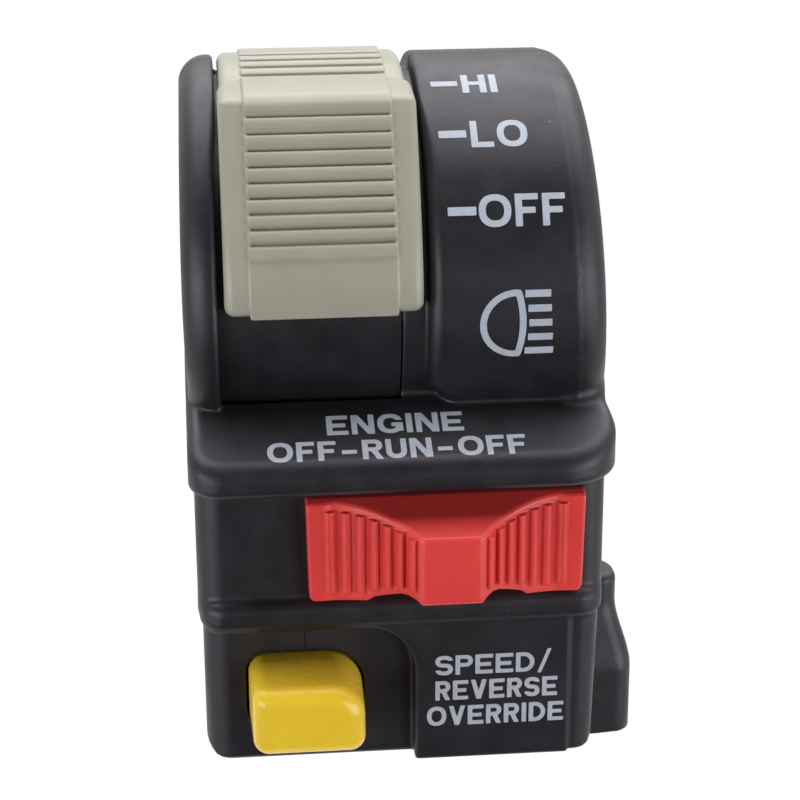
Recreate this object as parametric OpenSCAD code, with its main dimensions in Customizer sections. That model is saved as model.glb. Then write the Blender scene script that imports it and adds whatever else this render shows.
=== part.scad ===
// Handlebar switch cluster for the left grip.
// A two-piece clamp housing carries a headlamp slide, an engine-stop slide
// and a spring-return push button.
// Millimetres. Origin on the bar axis at mid width, +X along the bar to the
// rider's right, +Y away from the rider, +Z up.
// "Depth" is the distance from the bar axis towards the rider.
// Angles round the bar start at the rider and grow upwards.

/* [Handlebar clamp] */
// Handlebar diameter
bar_d = 22.2; // [21:0.1:22.6]
// Wall of the tube round the bar
saddle_wall = 2; // [1.6:0.1:2.2]
// Gap between the two housing halves
split_gap = 0.3; // [0.2:0.1:0.5]

/* [Drum] */
// Outer radius of the drum
drum_r = 23.5; // [23.3:0.1:24.5]
// Width of the drum along the bar
body_w = 45; // [44:0.5:48]
// Edge rounding of the drum on the right
drum_edge_r = 3.5; // [2:0.1:4]
// Edge rounding of the flange on the left
flange_edge_r = 1.2; // [0.5:0.1:1.5]
// Thickness of the flange on the left
flange_t = 3.5; // [3:0.1:4]
// Thickness of the wall on the right
end_wall = 3; // [2.4:0.1:4]
// General wall thickness
wall = 2.4; // [2:0.1:2.6]

/* [Slide channel] */
// Depth of the channel below the drum surface
track_depth = 2; // [1.6:0.1:2.2]
// Width of the channel
track_w = 22.5; // [22:0.1:24]
// Angle at which the channel ends on the far side
track_end_a = 132; // [128:1:150]
// Rounding of the channel's right edge
channel_r = 1.6; // [0.8:0.1:1.7]
// Thickness of the channel plate
plate_t = 1.6; // [1.2:0.1:1.8]
// Width of the channel plate
plate_w = 19.6; // [19.3:0.1:20]
// Height of the ledge under the left edge of the channel plate
ledge_h = 0.9; // [0.6:0.1:1.2]
// Width of that ledge
ledge_w = 0.8; // [0.6:0.1:0.9]

/* [Headlamp slide] */
// Width of the cap along the bar
cap_w = 20.5; // [19:0.1:21]
// Gap between the flange and the cap
cap_gap = 1; // [0.5:0.1:1.2]
// Angle of the lower end of the cap
cap_low_a = 0.5; // [0:0.5:3]
// Angle of the upper end of the cap
cap_high_a = 103; // [100:1:106]
// Angle of the slide in its middle position
lamp_a = 51; // [50:0.5:52]
// Turn up to the high beam position
lamp_up = 20; // [16:0.5:20]
// Turn down to the off position
lamp_down = 21; // [16:0.5:21]
// Height of the thumb ridge above the channel
ridge_h = 5.5; // [4.5:0.1:6.5]
// Height of the cap beside the ridge
cap_h = 2.8; // [2.4:0.1:3.2]
// Height of the ribbed panel above its border
cap_panel_h = 0.35; // [0.1:0.05:0.5]
// Border beside the ribbed panel on the left
cap_border_l = 2.4; // [1.5:0.1:3]
// Border beside the ribbed panel on the right
cap_border_r = 2.5; // [1.5:0.1:3.5]
// Radius of the grooves between the ribs
rib_groove_r = 0.4; // [0.2:0.05:0.5]
// Angle between ribs
rib_step_a = 3.9; // [3.6:0.05:4.4]
// Grooves below the ridge
rib_count = 10; // [4:1:10]
// Grooves above the ridge
rib_count_top = 4; // [1:1:5]
// Width of the neck through the channel plate
neck_w = 9.4; // [7:0.1:9.8]
// Half angle of the neck
neck_a = 7.5; // [5:0.5:7.5]
// Half angle of the carrier
carrier_a = 15; // [12:0.5:15]

/* [Thumb shelf] */
// Angle below the horizontal at which the shelf meets the drum
shelf_root_a = 29; // [28:0.5:31]
// Slope of the shelf top
shelf_slope = 23; // [18:1:26]
// Depth of the shelf nose
shelf_d = 29; // [28:0.1:30]
// Width of the shelf
shelf_w = 46.1; // [46:0.1:48]
// Shift of the shelf to the right of mid width
shelf_shift = 0.8; // [0.5:0.1:1]
// Height of the nose
shelf_t = 3.4; // [2.6:0.1:3.8]
// Rounding of the nose
nose_r = 1.5; // [0.6:0.1:1.6]
// Corner rounding of the shelf seen from above
shelf_corner_r = 4.5; // [3:0.1:5]

/* [Lower body] */
// Bottom of the body below the bar axis
body_drop = 53; // [52:0.1:54]
// Shift of the sections below the shelf to the right of mid width
body_shift = 0.5; // [0.3:0.1:0.6]
// Width of the engine-stop section
stop_w = 45.5; // [45:0.1:46]
// Width of the lower section
lower_w = 44.8; // [44.4:0.1:45.4]
// Depth of the engine-stop face
stop_face_d = 23.5; // [23.2:0.1:24]
// Depth of the label panel
panel_d = 24.3; // [24:0.1:25]
// Step at the right edge of the label panel
panel_step = 0.25; // [0.1:0.05:0.4]
// Distance of that step from the right side
panel_end = 2.8; // [2.4:0.1:3.2]
// Recess of the button face behind the label panel
recess = 2.2; // [1.5:0.1:2.4]
// Left edge of the label panel
panel_x = 1.7; // [1:0.1:2.5]
// Rounded inner corner of the button recess
recess_r = 5.5; // [3:0.1:6]
// Rounding of the upright edges
corner_r = 3; // [2:0.1:3.5]
// Rounding of the lower left corner
foot_r = 2.5; // [1:0.1:3]
// Height of the bead below the bar axis
bead_drop = 34.2; // [33.9:0.1:34.6]
// Radius of the bead
bead_r = 1.75; // [1.4:0.05:1.8]
// Depth of the bead
bead_d = 25.6; // [25.2:0.1:26]
// Width of the bead
bead_w = 45.6; // [45:0.1:46]
// Reach of the front half away from the rider
back_d = 15; // [14:0.1:17]
// Rounding of the front half's upright edges
back_r = 5; // [3:0.1:6]

/* [Engine-stop slide] */
// Gap between the shelf nose and the knob
knob_gap_top = 1.9; // [1:0.1:2.5]
// Gap between the knob and the bead
knob_gap_low = 0.1; // [0.1:0.05:0.5]
// Travel from the middle to either side
stop_travel = 5.1; // [4:0.1:5.1]
// Width of the knob
knob_w = 30.5; // [29.6:0.1:31]
// Width over the two notches in the lower edge of the knob
notch_w = 17.4; // [14:0.1:18]
// Height of the notches
notch_h = 2.5; // [1.5:0.1:2.8]
// Thickness of the knob ends
knob_rim = 1.9; // [1.5:0.1:2.5]
// Height of the knob block above the knob ends
knob_rise = 5.9; // [5:0.1:7]
// Width of the knob block
block_w = 7; // [6:0.1:8]
// Taper of the knob at the top
knob_taper_top = 2.4; // [1.5:0.1:3]
// Taper of the knob at the bottom
knob_taper_low = 2; // [1.5:0.1:3]
// Curve of the thumb ramps, 1 is straight
ramp_power = 1.9; // [1.4:0.1:2.4]
// Flutes on each ramp
knob_flutes = 7; // [3:1:7]
// Radius of the flutes
knob_flute_r = 0.55; // [0.4:0.05:0.6]
// Depth of the flutes
knob_flute_t = 0.35; // [0.2:0.05:0.4]
// Plain border above the flutes
knob_border_top = 0.9; // [0.7:0.1:2]
// Plain border below the flutes
knob_border_low = 1.5; // [1:0.1:2]
// Width of the stem through the wall
stem_w = 8.4; // [6:0.1:8.4]
// Height of the stem
stem_h = 4.8; // [3:0.1:5.2]
// Length of the engine-stop carrier
stop_carrier_w = 22.6; // [21:0.1:22.6]

/* [Override button] */
// Button centre to the left of mid width
button_left = 10.5; // [10:0.1:10.8]
// Button centre above the bottom, as a share of the lower section's height
button_up = 0.46; // [0.45:0.002:0.48]
// Button width
button_w = 12.9; // [11.5:0.1:13.1]
// Button height, as a share of the lower section's height
button_tall = 0.455; // [0.4:0.001:0.48]
// Depth of the button face
button_d = 30.9; // [29:0.1:32]
// Corner rounding of the button
button_r = 2; // [1.5:0.1:2.5]
// Rounding of its upper right corner
button_top_r = 3; // [1.5:0.1:3.2]
// Taper of the button on each side
button_taper = 0.4; // [0.1:0.1:0.6]
// Press travel of the button
button_travel = 2.5; // [1.5:0.1:2.5]
// Turns of the return spring
return_turns = 3.5; // [3:0.5:4]

/* [Harness outlet] */
// Outlet axis to the right of mid width
outlet_x = 24.5; // [24.2:0.1:25]
// Depth of the outlet axis
outlet_d = 8; // [7:0.1:9]
// Radius of the outlet skirt
outlet_r = 5; // [4.8:0.1:5.5]
// Radius of the outlet neck
outlet_neck_r = 2.9; // [2.6:0.1:3.4]
// Reach of the outlet below the body
outlet_below = 4.2; // [3.5:0.1:5]
// Height of the outlet skirt
skirt_h = 8.4; // [8:0.1:9.5]
// Height of the flare above the skirt
flare_h = 5.7; // [4.5:0.1:6]
// Height of the neck above the flare
neck_h = 6.1; // [5:0.1:8]
// Bore radius of the outlet
outlet_bore_r = 3.4; // [3.2:0.1:3.5]
// Bore radius of the grommet
grommet_bore_r = 2.4; // [2:0.1:2.6]

/* [Fasteners] */
// Clamp screw thread diameter
screw_d = 4.8; // [4:0.1:5]
// Clamp screw length under the head
screw_l = 18; // [16:0.5:18]
// Clamp screw head diameter
screw_head_d = 8.4; // [7:0.1:8.6]
// Clamp screw head height
screw_head_h = 3; // [2:0.1:3.5]
// Board screw thread diameter
tap_d = 1.9; // [1.6:0.1:2]
// Board screw head diameter
tap_head_d = 3.4; // [3:0.1:3.6]
// Board screw head height
tap_head_h = 1.2; // [0.8:0.1:1.3]
// Board screw length beyond the board
tap_l = 4.5; // [3.5:0.1:4.6]

/* [Contacts and detents] */
// Thickness of the contact boards
board_t = 1.5; // [1.2:0.1:1.6]
// Thickness of the contact pads
pad_t = 0.3; // [0.2:0.05:0.4]
// Radius of the detent balls
ball_r = 1.6; // [1.3:0.1:1.6]
// Depth of the detent notches
notch = 0.5; // [0.3:0.05:0.6]

/* [Clearances] */
// Clearance of parts that slide on each other
slide_gap = 0.1; // [0.05:0.05:0.15]
// Clearance of parts that stay put
seat_gap = 0.05; // [0.03:0.01:0.08]
// Clearance of the headlamp cap over its channel
cap_lift = 0.2; // [0.15:0.05:0.3]

/* [Hidden] */
$fa = 4;
$fs = 0.35;
black = [0.1, 0.1, 0.11];
brass = [0.78, 0.62, 0.3];
steel = [0.7, 0.71, 0.73];
board = [0.5, 0.33, 0.17];
far = 60;

bar_r = bar_d / 2;
saddle_r = bar_r + saddle_wall;
x_left = -body_w / 2;
x_right = body_w / 2;
track_x1 = x_left + flange_t;
track_x2 = track_x1 + track_w;
track_r = drum_r - track_depth;
plate_r = track_r - plate_t;
plate_x2 = track_x1 + plate_w;
// Partition between the slide chamber and the right chamber
rib_x1 = plate_x2 - 0.6;
rib_x2 = track_x2 + 2.5;
chamber_r = drum_r - wall - 0.5;
front_r = track_r - wall;
back_in = back_d - wall;

z_bottom = -body_drop;
z_bead = -bead_drop;
lower_h = body_drop - bead_drop;
stop_x = stop_travel;
stop_wall_d = stop_face_d - wall;
low_face_d = panel_d - recess;
low_wall_d = low_face_d - wall;
stop_in = stop_w / 2 - body_shift - wall;
low_in = lower_w / 2 - body_shift - wall;

root_d = drum_r * cos(shelf_root_a);
root_z = -drum_r * sin(shelf_root_a);
nose_z = root_z - (shelf_d - root_d) * tan(shelf_slope);

cap_x1 = track_x1 + cap_gap;
cap_x2 = cap_x1 + cap_w;
cap_r = track_r + cap_lift;
neck_x = (track_x1 + plate_x2) / 2;
neck_top = track_r + 1.5;
slot_low_a = lamp_a - lamp_down - neck_a - 0.5;
slot_high_a = lamp_a + lamp_up + neck_a + 0.5;

carrier_x1 = track_x1 + ledge_w + 0.3;
board_x1 = rib_x1 - seat_gap - board_t;
pad_x = board_x1 - pad_t;
wiper_t = 0.5;
bump = 0.2;
wiper_x2 = pad_x - seat_gap - bump;
wiper_x1 = wiper_x2 - wiper_t;
carrier_x2 = wiper_x1 - 0.6;
mid_r = (saddle_r + plate_r) / 2;
pocket = 5;
ball_x = track_x1 + ball_r + seat_gap;

knob_base_d = stop_face_d + slide_gap;
knob_end_d = knob_base_d + knob_rim;
knob_d = knob_end_d + knob_rise;
knob_top = nose_z - shelf_t - knob_gap_top;
knob_low = z_bead + bead_r + knob_gap_low;
stop_z = (knob_top + knob_low) / 2;
rail_gap = 5.5;
rail_t = 1.8;
rail_z = stop_z - rail_gap;
z_roof = stop_z + rail_gap + rail_t + 1.9;
// The front half's cavity runs straight into its drum
front_roof = max(z_roof, -sqrt(max(0, front_r ^ 2 - back_in ^ 2)));
carrier_d2 = stop_wall_d - slide_gap;
carrier_d1 = carrier_d2 - 4.9;
carrier_hz = rail_gap - slide_gap;
stem_d1 = carrier_d1 + 1.2;
spring_x = 6;
wiper_h = 3.2;
wiper_end = 2;
stop_board_hz = rail_gap + 0.5;
stop_ball_x = stop_carrier_w / 2 - ball_r - 0.3;
stop_ball_d = carrier_d1 + ball_r + 0.8;
ball_z = rail_z + ball_r + seat_gap;
boss_x = stop_in - 1.7;
stop_board_d = carrier_d1 - 3.8;
stop_wiper_d = stop_board_d + pad_t + seat_gap + bump;

button_x = -button_left;
button_z = z_bottom + lower_h * button_up;
button_h = lower_h * button_tall;
button_lip = lower_h * 0.054;
flange_d2 = low_wall_d - seat_gap;
flange_d1 = flange_d2 - 2.3;
base_hz = button_z - z_bottom - wall - 0.6;
collar_out = base_hz * 0.793;
collar_wall = collar_out * 0.348;
collar_r = collar_out - collar_wall;
plunger_r = collar_r * 0.733;
contact_r = collar_r - 0.4;
pin_x = collar_r * 0.467;
pin_r = collar_r / 6;
coil_r = (collar_r + collar_out) / 2 - 0.2;
bridge_d2 = flange_d1 - 5.9;
bridge_t = 0.5;
base_d2 = bridge_d2 - bridge_t - button_travel - 1.8;
base_t = 1.6;
collar_d = bridge_d2 + 0.5;
base_edge = 1.8;
base_dz = base_hz - base_edge;
base_x = button_x + button_w / 2 + 2.7;
// The two screws of the button base stand on a diagonal
function base_screw(s) = [base_x + (1 - s) / 2 * (tap_head_d + 0.4), button_z + s * base_dz];

top_screw = [12, saddle_r + 3.5];
low_screw = [low_in - 4.2, z_bottom + lower_h * 0.543];
seat_y = 7.5;
boss_r = screw_head_d / 2 + 0.4;
tap_boss_r = 1.5;
outlet_z = z_bottom - outlet_below;
window_h = 2.8;
grommet_l = 8;
lip_t = 1.2;
lip_r = outlet_r - 0.9;

// Round the corners of an outline given as [x, y, radius]
function unit(v) = v / norm(v);
function corner_arc(a, b, c, r, n) =
    let (u = unit(a - b), v = unit(c - b), h = acos(max(-1, min(1, u * v))) / 2,
         m = b + unit(u + v) * r / sin(h), s = b + u * r / tan(h) - m,
         e = b + v * r / tan(h) - m, a1 = atan2(s[1], s[0]),
         turn = (atan2(e[1], e[0]) - a1 + 540) % 360 - 180)
    [for (i = [0:n]) m + r * [cos(a1 + turn * i / n), sin(a1 + turn * i / n)]];
function flat(p) = [p[0], p[1]];
function rounded(p, n = 6) =
    [for (i = [0:len(p) - 1])
        let (a = p[(i + len(p) - 1) % len(p)], b = p[i], c = p[(i + 1) % len(p)])
        each (b[2] > 0 ? corner_arc(flat(a), flat(b), flat(c), b[2], n) : [flat(b)])];

// Smooth curve through a list of [position, height]
function curve(p, i, t) =
    let (n = len(p) - 1, a = p[max(i - 1, 0)], b = p[i], c = p[i + 1], d = p[min(i + 2, n)],
         mb = (c[1] - a[1]) / (c[0] - a[0]), mc = (d[1] - b[1]) / (d[0] - b[0]), w = c[0] - b[0])
    (2 * t ^ 3 - 3 * t ^ 2 + 1) * b[1] + (t ^ 3 - 2 * t ^ 2 + t) * w * mb
        + (3 * t ^ 2 - 2 * t ^ 3) * c[1] + (t ^ 3 - t ^ 2) * w * mc;
function height_at(p, x) =
    let (i = max([for (k = [0:len(p) - 2]) p[k][0] <= x ? k : 0]))
    curve(p, i, (x - p[i][0]) / (p[i + 1][0] - p[i][0]));

// Solid of revolution round the bar, drawn as [radius, place along the bar]
module about_bar(a1, a2) {
    multmatrix([[0, 0, 1, 0], [-1, 0, 0, 0], [0, -1, 0, 0], [0, 0, 0, 1]])
        rotate([0, 0, -a2]) rotate_extrude(angle = a2 - a1) children();
}
// Annular sector round the bar
module sector(r1, r2, x1, x2, a1, a2) {
    about_bar(a1, a2) translate([r1, x1]) square([r2 - r1, x2 - x1]);
}
// Prism along the bar, drawn as [depth, height]
module along_bar(x1, x2) {
    translate([x2, 0, 0])
        multmatrix([[0, 0, -1, 0], [-1, 0, 0, 0], [0, 1, 0, 0], [0, 0, 0, 1]])
            linear_extrude(height = x2 - x1) children();
}
// Prism towards the rider, drawn as [x, height]
module towards(d1, d2) {
    translate([0, -d1, 0]) rotate([90, 0, 0]) linear_extrude(height = d2 - d1) children();
}
module slab(x1, x2, d1, d2, z1, z2) {
    translate([x1, -d2, z1]) cube([x2 - x1, d2 - d1, z2 - z1]);
}
module rod_x(x1, x2, d, z, r) {
    translate([x1, -d, z]) rotate([0, 90, 0]) cylinder(h = x2 - x1, r = r);
}
module rod_y(x, d1, d2, z, r) {
    translate([x, -d1, z]) rotate([90, 0, 0]) cylinder(h = d2 - d1, r = r);
}
module rod_z(x, d, z1, z2, r) {
    translate([x, -d, z1]) cylinder(h = z2 - z1, r = r);
}
// Rod along the bar at a radius and angle round it
module rod_at(x1, x2, r, a, rr) {
    rod_x(x1, x2, r * cos(a), r * sin(a), rr);
}
// Upright block with rounded front edges, from the split plane to a depth
module column(hw, d, r, z1, z2) {
    translate([body_shift, 0, z1]) linear_extrude(height = z2 - z1)
        polygon(rounded([[-hw, 1, 0], [-hw, -d, r], [hw, -d, r], [hw, 1, 0]]));
}
// One unbroken coil spring along +Z from the origin
module coil(r, wire, h, turns) {
    n = round(turns * 8);
    pts = [for (i = [0:n], k = [0:5]) let (a = 45 * i, q = r + wire * cos(60 * k))
        [q * cos(a), q * sin(a), wire + (h - 2 * wire) * i / n + wire * sin(60 * k)]];
    sides = [for (i = [0:n - 1], k = [0:5]) let (a = 6 * i + k, b = 6 * i + (k + 1) % 6)
        each [[a, b, a + 6], [b, b + 6, a + 6]]];
    ends = concat([for (k = [1:4]) [0, k + 1, k]],
                  [for (k = [1:4]) [6 * n, 6 * n + k, 6 * n + k + 1]]);
    polyhedron(points = pts, faces = concat(sides, ends), convexity = 6);
}

// Outline of the label panel, with the rounded corner of the button recess
module panel_outline(x2) {
    hw = lower_w / 2 + 1 - body_shift;
    top = z_bead - bead_r - 0.3;
    polygon(rounded([[panel_x, z_bottom, 0], [x2, z_bottom, 0], [x2, z_bead, 0],
                     [-hw, z_bead, 0], [-hw, top, 0], [panel_x, top, recess_r]], 10));
}
module lower_outline() {
    hw = lower_w / 2;
    translate([body_shift, 0]) polygon(rounded([[-hw, z_bead, 0], [-hw, z_bottom, foot_r],
                     [hw, z_bottom, foot_r * 0.6], [hw, z_bead, 0]]));
}
module shelf_form() {
    hw = shelf_w / 2;
    in_d = root_d - 6;
    intersection() {
        along_bar(-hw, hw) polygon(rounded([
            [in_d, root_z + 6 * tan(shelf_slope), 0], [shelf_d, nose_z, nose_r],
            [shelf_d, nose_z - shelf_t, nose_r * 0.65], [in_d, nose_z - shelf_t - 0.3, 0]]));
        translate([0, 0, -far]) linear_extrude(height = far) polygon(rounded([
            [-lower_w / 2, -6, 0], [-hw, -15, 2], [-hw, -shelf_d, shelf_corner_r],
            [hw, -shelf_d, shelf_corner_r], [hw, -15, 2], [lower_w / 2, -6, 0]]));
    }
}
module bead_form() {
    e = bead_w / 2 - bead_r;
    d = bead_d - bead_r;
    c = corner_r;
    rod_x(-e + c, e - c, d, z_bead, bead_r);
    for (s = [-1, 1]) {
        rod_y(s * e, 0, d - c, z_bead, bead_r);
        translate([s * (e - c), -(d - c), z_bead]) rotate([0, 0, s < 0 ? 180 : -90])
            rotate_extrude(angle = 90) translate([c, 0]) circle(bead_r);
    }
    slab(-e, e, 0, d - c, z_bead - bead_r, z_bead + bead_r);
    slab(-e + c, e - c, 0, d, z_bead - bead_r, z_bead + bead_r);
}
module outlet_form() {
    z2 = skirt_h + flare_h;
    translate([outlet_x, -outlet_d, outlet_z]) rotate_extrude() polygon(rounded([
        [0, 0, 0], [outlet_r, 0, 0.5], [outlet_r, skirt_h, 6], [outlet_neck_r, z2, 6],
        [outlet_neck_r, z2 + neck_h, outlet_neck_r * 0.55], [0, z2 + neck_h, 0]]));
}
module drum_half(a1, a2) {
    about_bar(a1, a2) polygon(rounded([
        [0, x_left, 0], [drum_r, x_left, flange_edge_r],
        [drum_r, x_right, drum_edge_r], [0, x_right, 0]]));
}
module rear_form() {
    drum_half(-90, 90);
    column(stop_w / 2, stop_face_d, corner_r, z_bead, z_roof + 2);
    intersection() {
        column(lower_w / 2, low_face_d, corner_r, z_bottom, z_bead);
        towards(-2, far) lower_outline();
    }
    for (k = [0, 1]) intersection() {
        column(lower_w / 2, panel_d - panel_step * k, corner_r, z_bottom, z_bead);
        towards(-2, far) panel_outline(lower_w / 2 + body_shift + (k == 0 ? -panel_end : 1));
        towards(-2, far) lower_outline();
    }
    translate([shelf_shift, 0, 0]) shelf_form();
    translate([body_shift, 0, 0]) bead_form();
    outlet_form();
}
// Slide channel with a soft right edge
module channel(a1, a2) {
    r = drum_r + 0.03 - channel_r;
    about_bar(a1, a2) polygon(concat(
        [[track_r, track_x1], [far, track_x1], [far, track_x2 + channel_r]],
        [for (i = [0:6]) [r + channel_r * cos(15 * i), track_x2 + channel_r * (1 - sin(15 * i))]],
        [[track_r, track_x2]]));
}
// Everything above the slope of the shelf
module above_shelf(lift) {
    along_bar(x_left - 5, x_right + 5) polygon([
        [0, root_z + lift + root_d * tan(shelf_slope)],
        [far, root_z + lift - (far - root_d) * tan(shelf_slope)], [far, far], [0, far]]);
}
module rear_cavity() {
    difference() {
        union() {
            about_bar(-90, 90) {
                translate([saddle_r, track_x1])
                    square([plate_r - ledge_h - saddle_r, ledge_w + 1]);
                translate([saddle_r, track_x1 + ledge_w])
                    square([plate_r - saddle_r, rib_x1 - track_x1 - ledge_w]);
                translate([saddle_r, rib_x2])
                    square([chamber_r - saddle_r, x_right - end_wall - rib_x2]);
            }
            slab(-stop_in, stop_in, -1, stop_wall_d, z_bead, z_roof);
            slab(-low_in, low_in, -1, low_wall_d, z_bottom + wall, z_bead + 1);
        }
        rod_x(-far, far, 0, 0, saddle_r);
    }
}
// Walls, rails and bosses inside the rider-side half
module rear_inside() {
    intersection() {
        rod_y(top_screw[0], 0, far, top_screw[1], boss_r);
        drum_half(-90, 90);
    }
    rod_y(low_screw[0], 0, low_wall_d + 1, low_screw[1], boss_r);
    for (z = [stop_z + rail_gap, rail_z - rail_t])
        slab(-stop_in - 1, stop_in + 1, carrier_d1 - 0.5, stop_wall_d + 1, z, z + rail_t);
    for (s = [-1, 1]) {
        rod_y(s * boss_x, stop_board_d + seat_gap, stop_wall_d + 1, stop_z, tap_boss_r);
        rod_y(base_screw(s)[0], base_d2 + seat_gap, low_wall_d + 1, base_screw(s)[1], tap_boss_r);
    }
}
module rear_housing() color(black) difference() {
    union() {
        difference() {
            rear_form();
            rear_cavity();
        }
        rear_inside();
    }
    rod_x(-far, far, 0, 0, bar_r);
    translate([-far, -split_gap / 2, -2 * far]) cube([2 * far, far, 4 * far]);
    // Slide channel down to the shelf, and the seat of its plate
    intersection() {
        channel(-shelf_root_a - 9, 91);
        above_shelf(0);
    }
    sector(plate_r, track_r + 1, track_x1, plate_x2 + seat_gap, -shelf_root_a - 5, 91);
    sector(plate_r - 0.5, plate_r + 0.5, track_x1 + ledge_w, rib_x1, -shelf_root_a - 5, 91);
    // Detent notches in the flange
    for (a = [-lamp_down, 0, lamp_up])
        translate([track_x1 + ball_r - notch, -mid_r * cos(lamp_a + a), mid_r * sin(lamp_a + a)])
            sphere(ball_r + 0.1);
    // Lead opening through the partition
    sector(saddle_r + 1, saddle_r + 4, rib_x1 - 1, rib_x2 + 1, lamp_a - 45, lamp_a - 35);
    light_screw_holes(rib_x1 - 1, rib_x1 + 3.6);
    // Slot of the engine-stop stem and its detent notches
    slab(-stop_travel - stem_w / 2 - slide_gap, stop_travel + stem_w / 2 + slide_gap,
         stop_wall_d - 1, stop_face_d + 1, stop_z - stem_h / 2 - slide_gap,
         stop_z + stem_h / 2 + slide_gap);
    for (k = [0:2])
        translate([stop_ball_x + stop_travel * (1 - k), -stop_ball_d, rail_z + ball_r - notch])
            sphere(ball_r + 0.1);
    for (s = [-1, 1]) {
        rod_y(s * boss_x, 0, stop_board_d + tap_l + 0.5, stop_z, tap_d / 2 + seat_gap);
        rod_y(base_screw(s)[0], 0, base_d2 + tap_l + 0.5, base_screw(s)[1], tap_d / 2 + seat_gap);
    }
    // Button opening
    towards(low_wall_d - 1, low_face_d + 1) button_outline(-slide_gap);
    // Clamp screw threads
    for (p = [top_screw, low_screw])
        rod_y(p[0], -1, screw_l - seat_y + 1, p[1], screw_d / 2 + seat_gap);
    // Harness outlet
    rod_z(outlet_x, outlet_d, outlet_z - 1, outlet_z + grommet_l + 0.2 + window_h, outlet_bore_r);
    rod_z(outlet_x, outlet_d, outlet_z - 1, outlet_z + lip_t + seat_gap, lip_r);
    slab(low_in - 1, outlet_x, outlet_d - 2.2, outlet_d + 2.2,
         outlet_z + grommet_l + 0.2, outlet_z + grommet_l + 0.2 + window_h);
}
module front_form() {
    hw = lower_w / 2;
    drum_half(90, 270);
    intersection() {
        translate([body_shift, 0, z_bottom]) linear_extrude(height = z_roof + 2 - z_bottom)
            polygon(rounded([[-hw, -1, 0], [hw, -1, 0], [hw, back_d, back_r], [-hw, back_d, back_r]]));
        translate([body_shift, 0, 0]) towards(-far, 2) polygon(rounded([
            [-hw, 0, 0], [-hw, z_bottom, foot_r], [hw, z_bottom, foot_r], [hw, 0, 0]]));
    }
}
module front_housing() color(black) difference() {
    union() {
        difference() {
            front_form();
            difference() {
                union() {
                    sector(saddle_r, front_r, track_x1, x_right - end_wall, 90, 270);
                    slab(-low_in, low_in, -back_in, 1, z_bottom + wall, front_roof);
                }
                rod_x(-far, far, 0, 0, saddle_r);
            }
        }
        intersection() {
            union() for (p = [top_screw, low_screw]) rod_y(p[0], -far, 0, p[1], boss_r + 1);
            front_form();
        }
    }
    rod_x(-far, far, 0, 0, bar_r);
    slab(-far, far, -split_gap / 2, far, -2 * far, 2 * far);
    channel(89, track_end_a);
    for (p = [top_screw, low_screw]) {
        rod_y(p[0], -far, 1, p[1], screw_d / 2 + 0.3);
        rod_y(p[0], -far, -seat_y, p[1], screw_head_d / 2 + 0.3);
    }
}
module clamp_screws() color(steel) for (p = [top_screw, low_screw]) difference() {
    union() {
        rod_y(p[0], -seat_y - seat_gap, screw_l - seat_y, p[1], screw_d / 2);
        rod_y(p[0], -seat_y - screw_head_h, -seat_y - seat_gap, p[1], screw_head_d / 2);
    }
    for (a = [0, 90])
        translate([p[0], seat_y + screw_head_h, p[1]]) rotate([0, a, 0])
            cube([screw_d, 3.2, 1.1], center = true);
}
module harness_grommet() color([0.16, 0.16, 0.16]) translate([outlet_x, -outlet_d, outlet_z])
    difference() {
        union() {
            translate([0, 0, lip_t / 2]) cylinder(h = grommet_l - lip_t / 2, r = outlet_bore_r - seat_gap);
            translate([0, 0, 0.1]) cylinder(h = lip_t - 0.1, r = lip_r - seat_gap);
        }
        translate([0, 0, -lip_t]) cylinder(h = grommet_l + 2 * lip_t, r = grommet_bore_r);
    }

// Headlamp slide
cap_line = [[-30, cap_h], [cap_low_a, cap_h - 0.1], [8, cap_h + 0.15], [18, cap_h], [28, cap_h + 0.05],
            [38, cap_h + (ridge_h - cap_h) * 0.22], [47, cap_h + (ridge_h - cap_h) * 0.6],
            [53, ridge_h - 0.15], [55.5, ridge_h], [58, ridge_h - 0.35],
            [63, cap_h + (ridge_h - cap_h) * 0.4], [68, cap_h + 0.25], [78, cap_h - 0.1],
            [90, cap_h - 0.35], [cap_high_a, cap_h - 0.6], [130, cap_h - 0.8]];
function cap_out(a) = track_r + height_at(cap_line, a);
function on_arc(r, a) = [r * cos(a), r * sin(a)];
module cap_prism(x1, x2, a1, a2, up, n) {
    step = (a2 - a1) / n;
    along_bar(x1, x2) polygon(concat(
        [for (i = [0:n]) on_arc(cap_out(a1 + step * i) + up, a1 + step * i)],
        [for (i = [n:-1:0]) on_arc(cap_r + 1, a1 + step * i)]));
}
module light_cap() color([0.78, 0.77, 0.68]) difference() {
    union() {
        difference() {
            cap_prism(cap_x1, cap_x2, cap_low_a, cap_high_a, 0, 48);
            rod_x(-far, far, 0, 0, cap_r + 1.2);
        }
        sector(cap_r, cap_r + 1.4, cap_x1, cap_x2, cap_low_a, cap_high_a);
        cap_prism(cap_x1 + cap_border_l, cap_x2 - cap_border_r, cap_low_a - 0.3, cap_high_a - 1,
                  cap_panel_h, 48);
    }
    for (i = [0:rib_count - 1]) let (a = 51 - rib_step_a * i)
        rod_at(cap_x1 + cap_border_l, cap_x2 - cap_border_r, cap_out(a) + cap_panel_h, a, rib_groove_r);
    for (i = [0:rib_count_top - 1]) let (a = 71 + (rib_step_a + 0.9) * i)
        rod_at(cap_x1 + cap_border_l, cap_x2 - cap_border_r, cap_out(a) + cap_panel_h, a, rib_groove_r);
    sector(cap_r - 1, neck_top + seat_gap, neck_x - neck_w / 2 - seat_gap,
           neck_x + neck_w / 2 + seat_gap, lamp_a - neck_a - 0.15, lamp_a + neck_a + 0.15);
}
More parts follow.
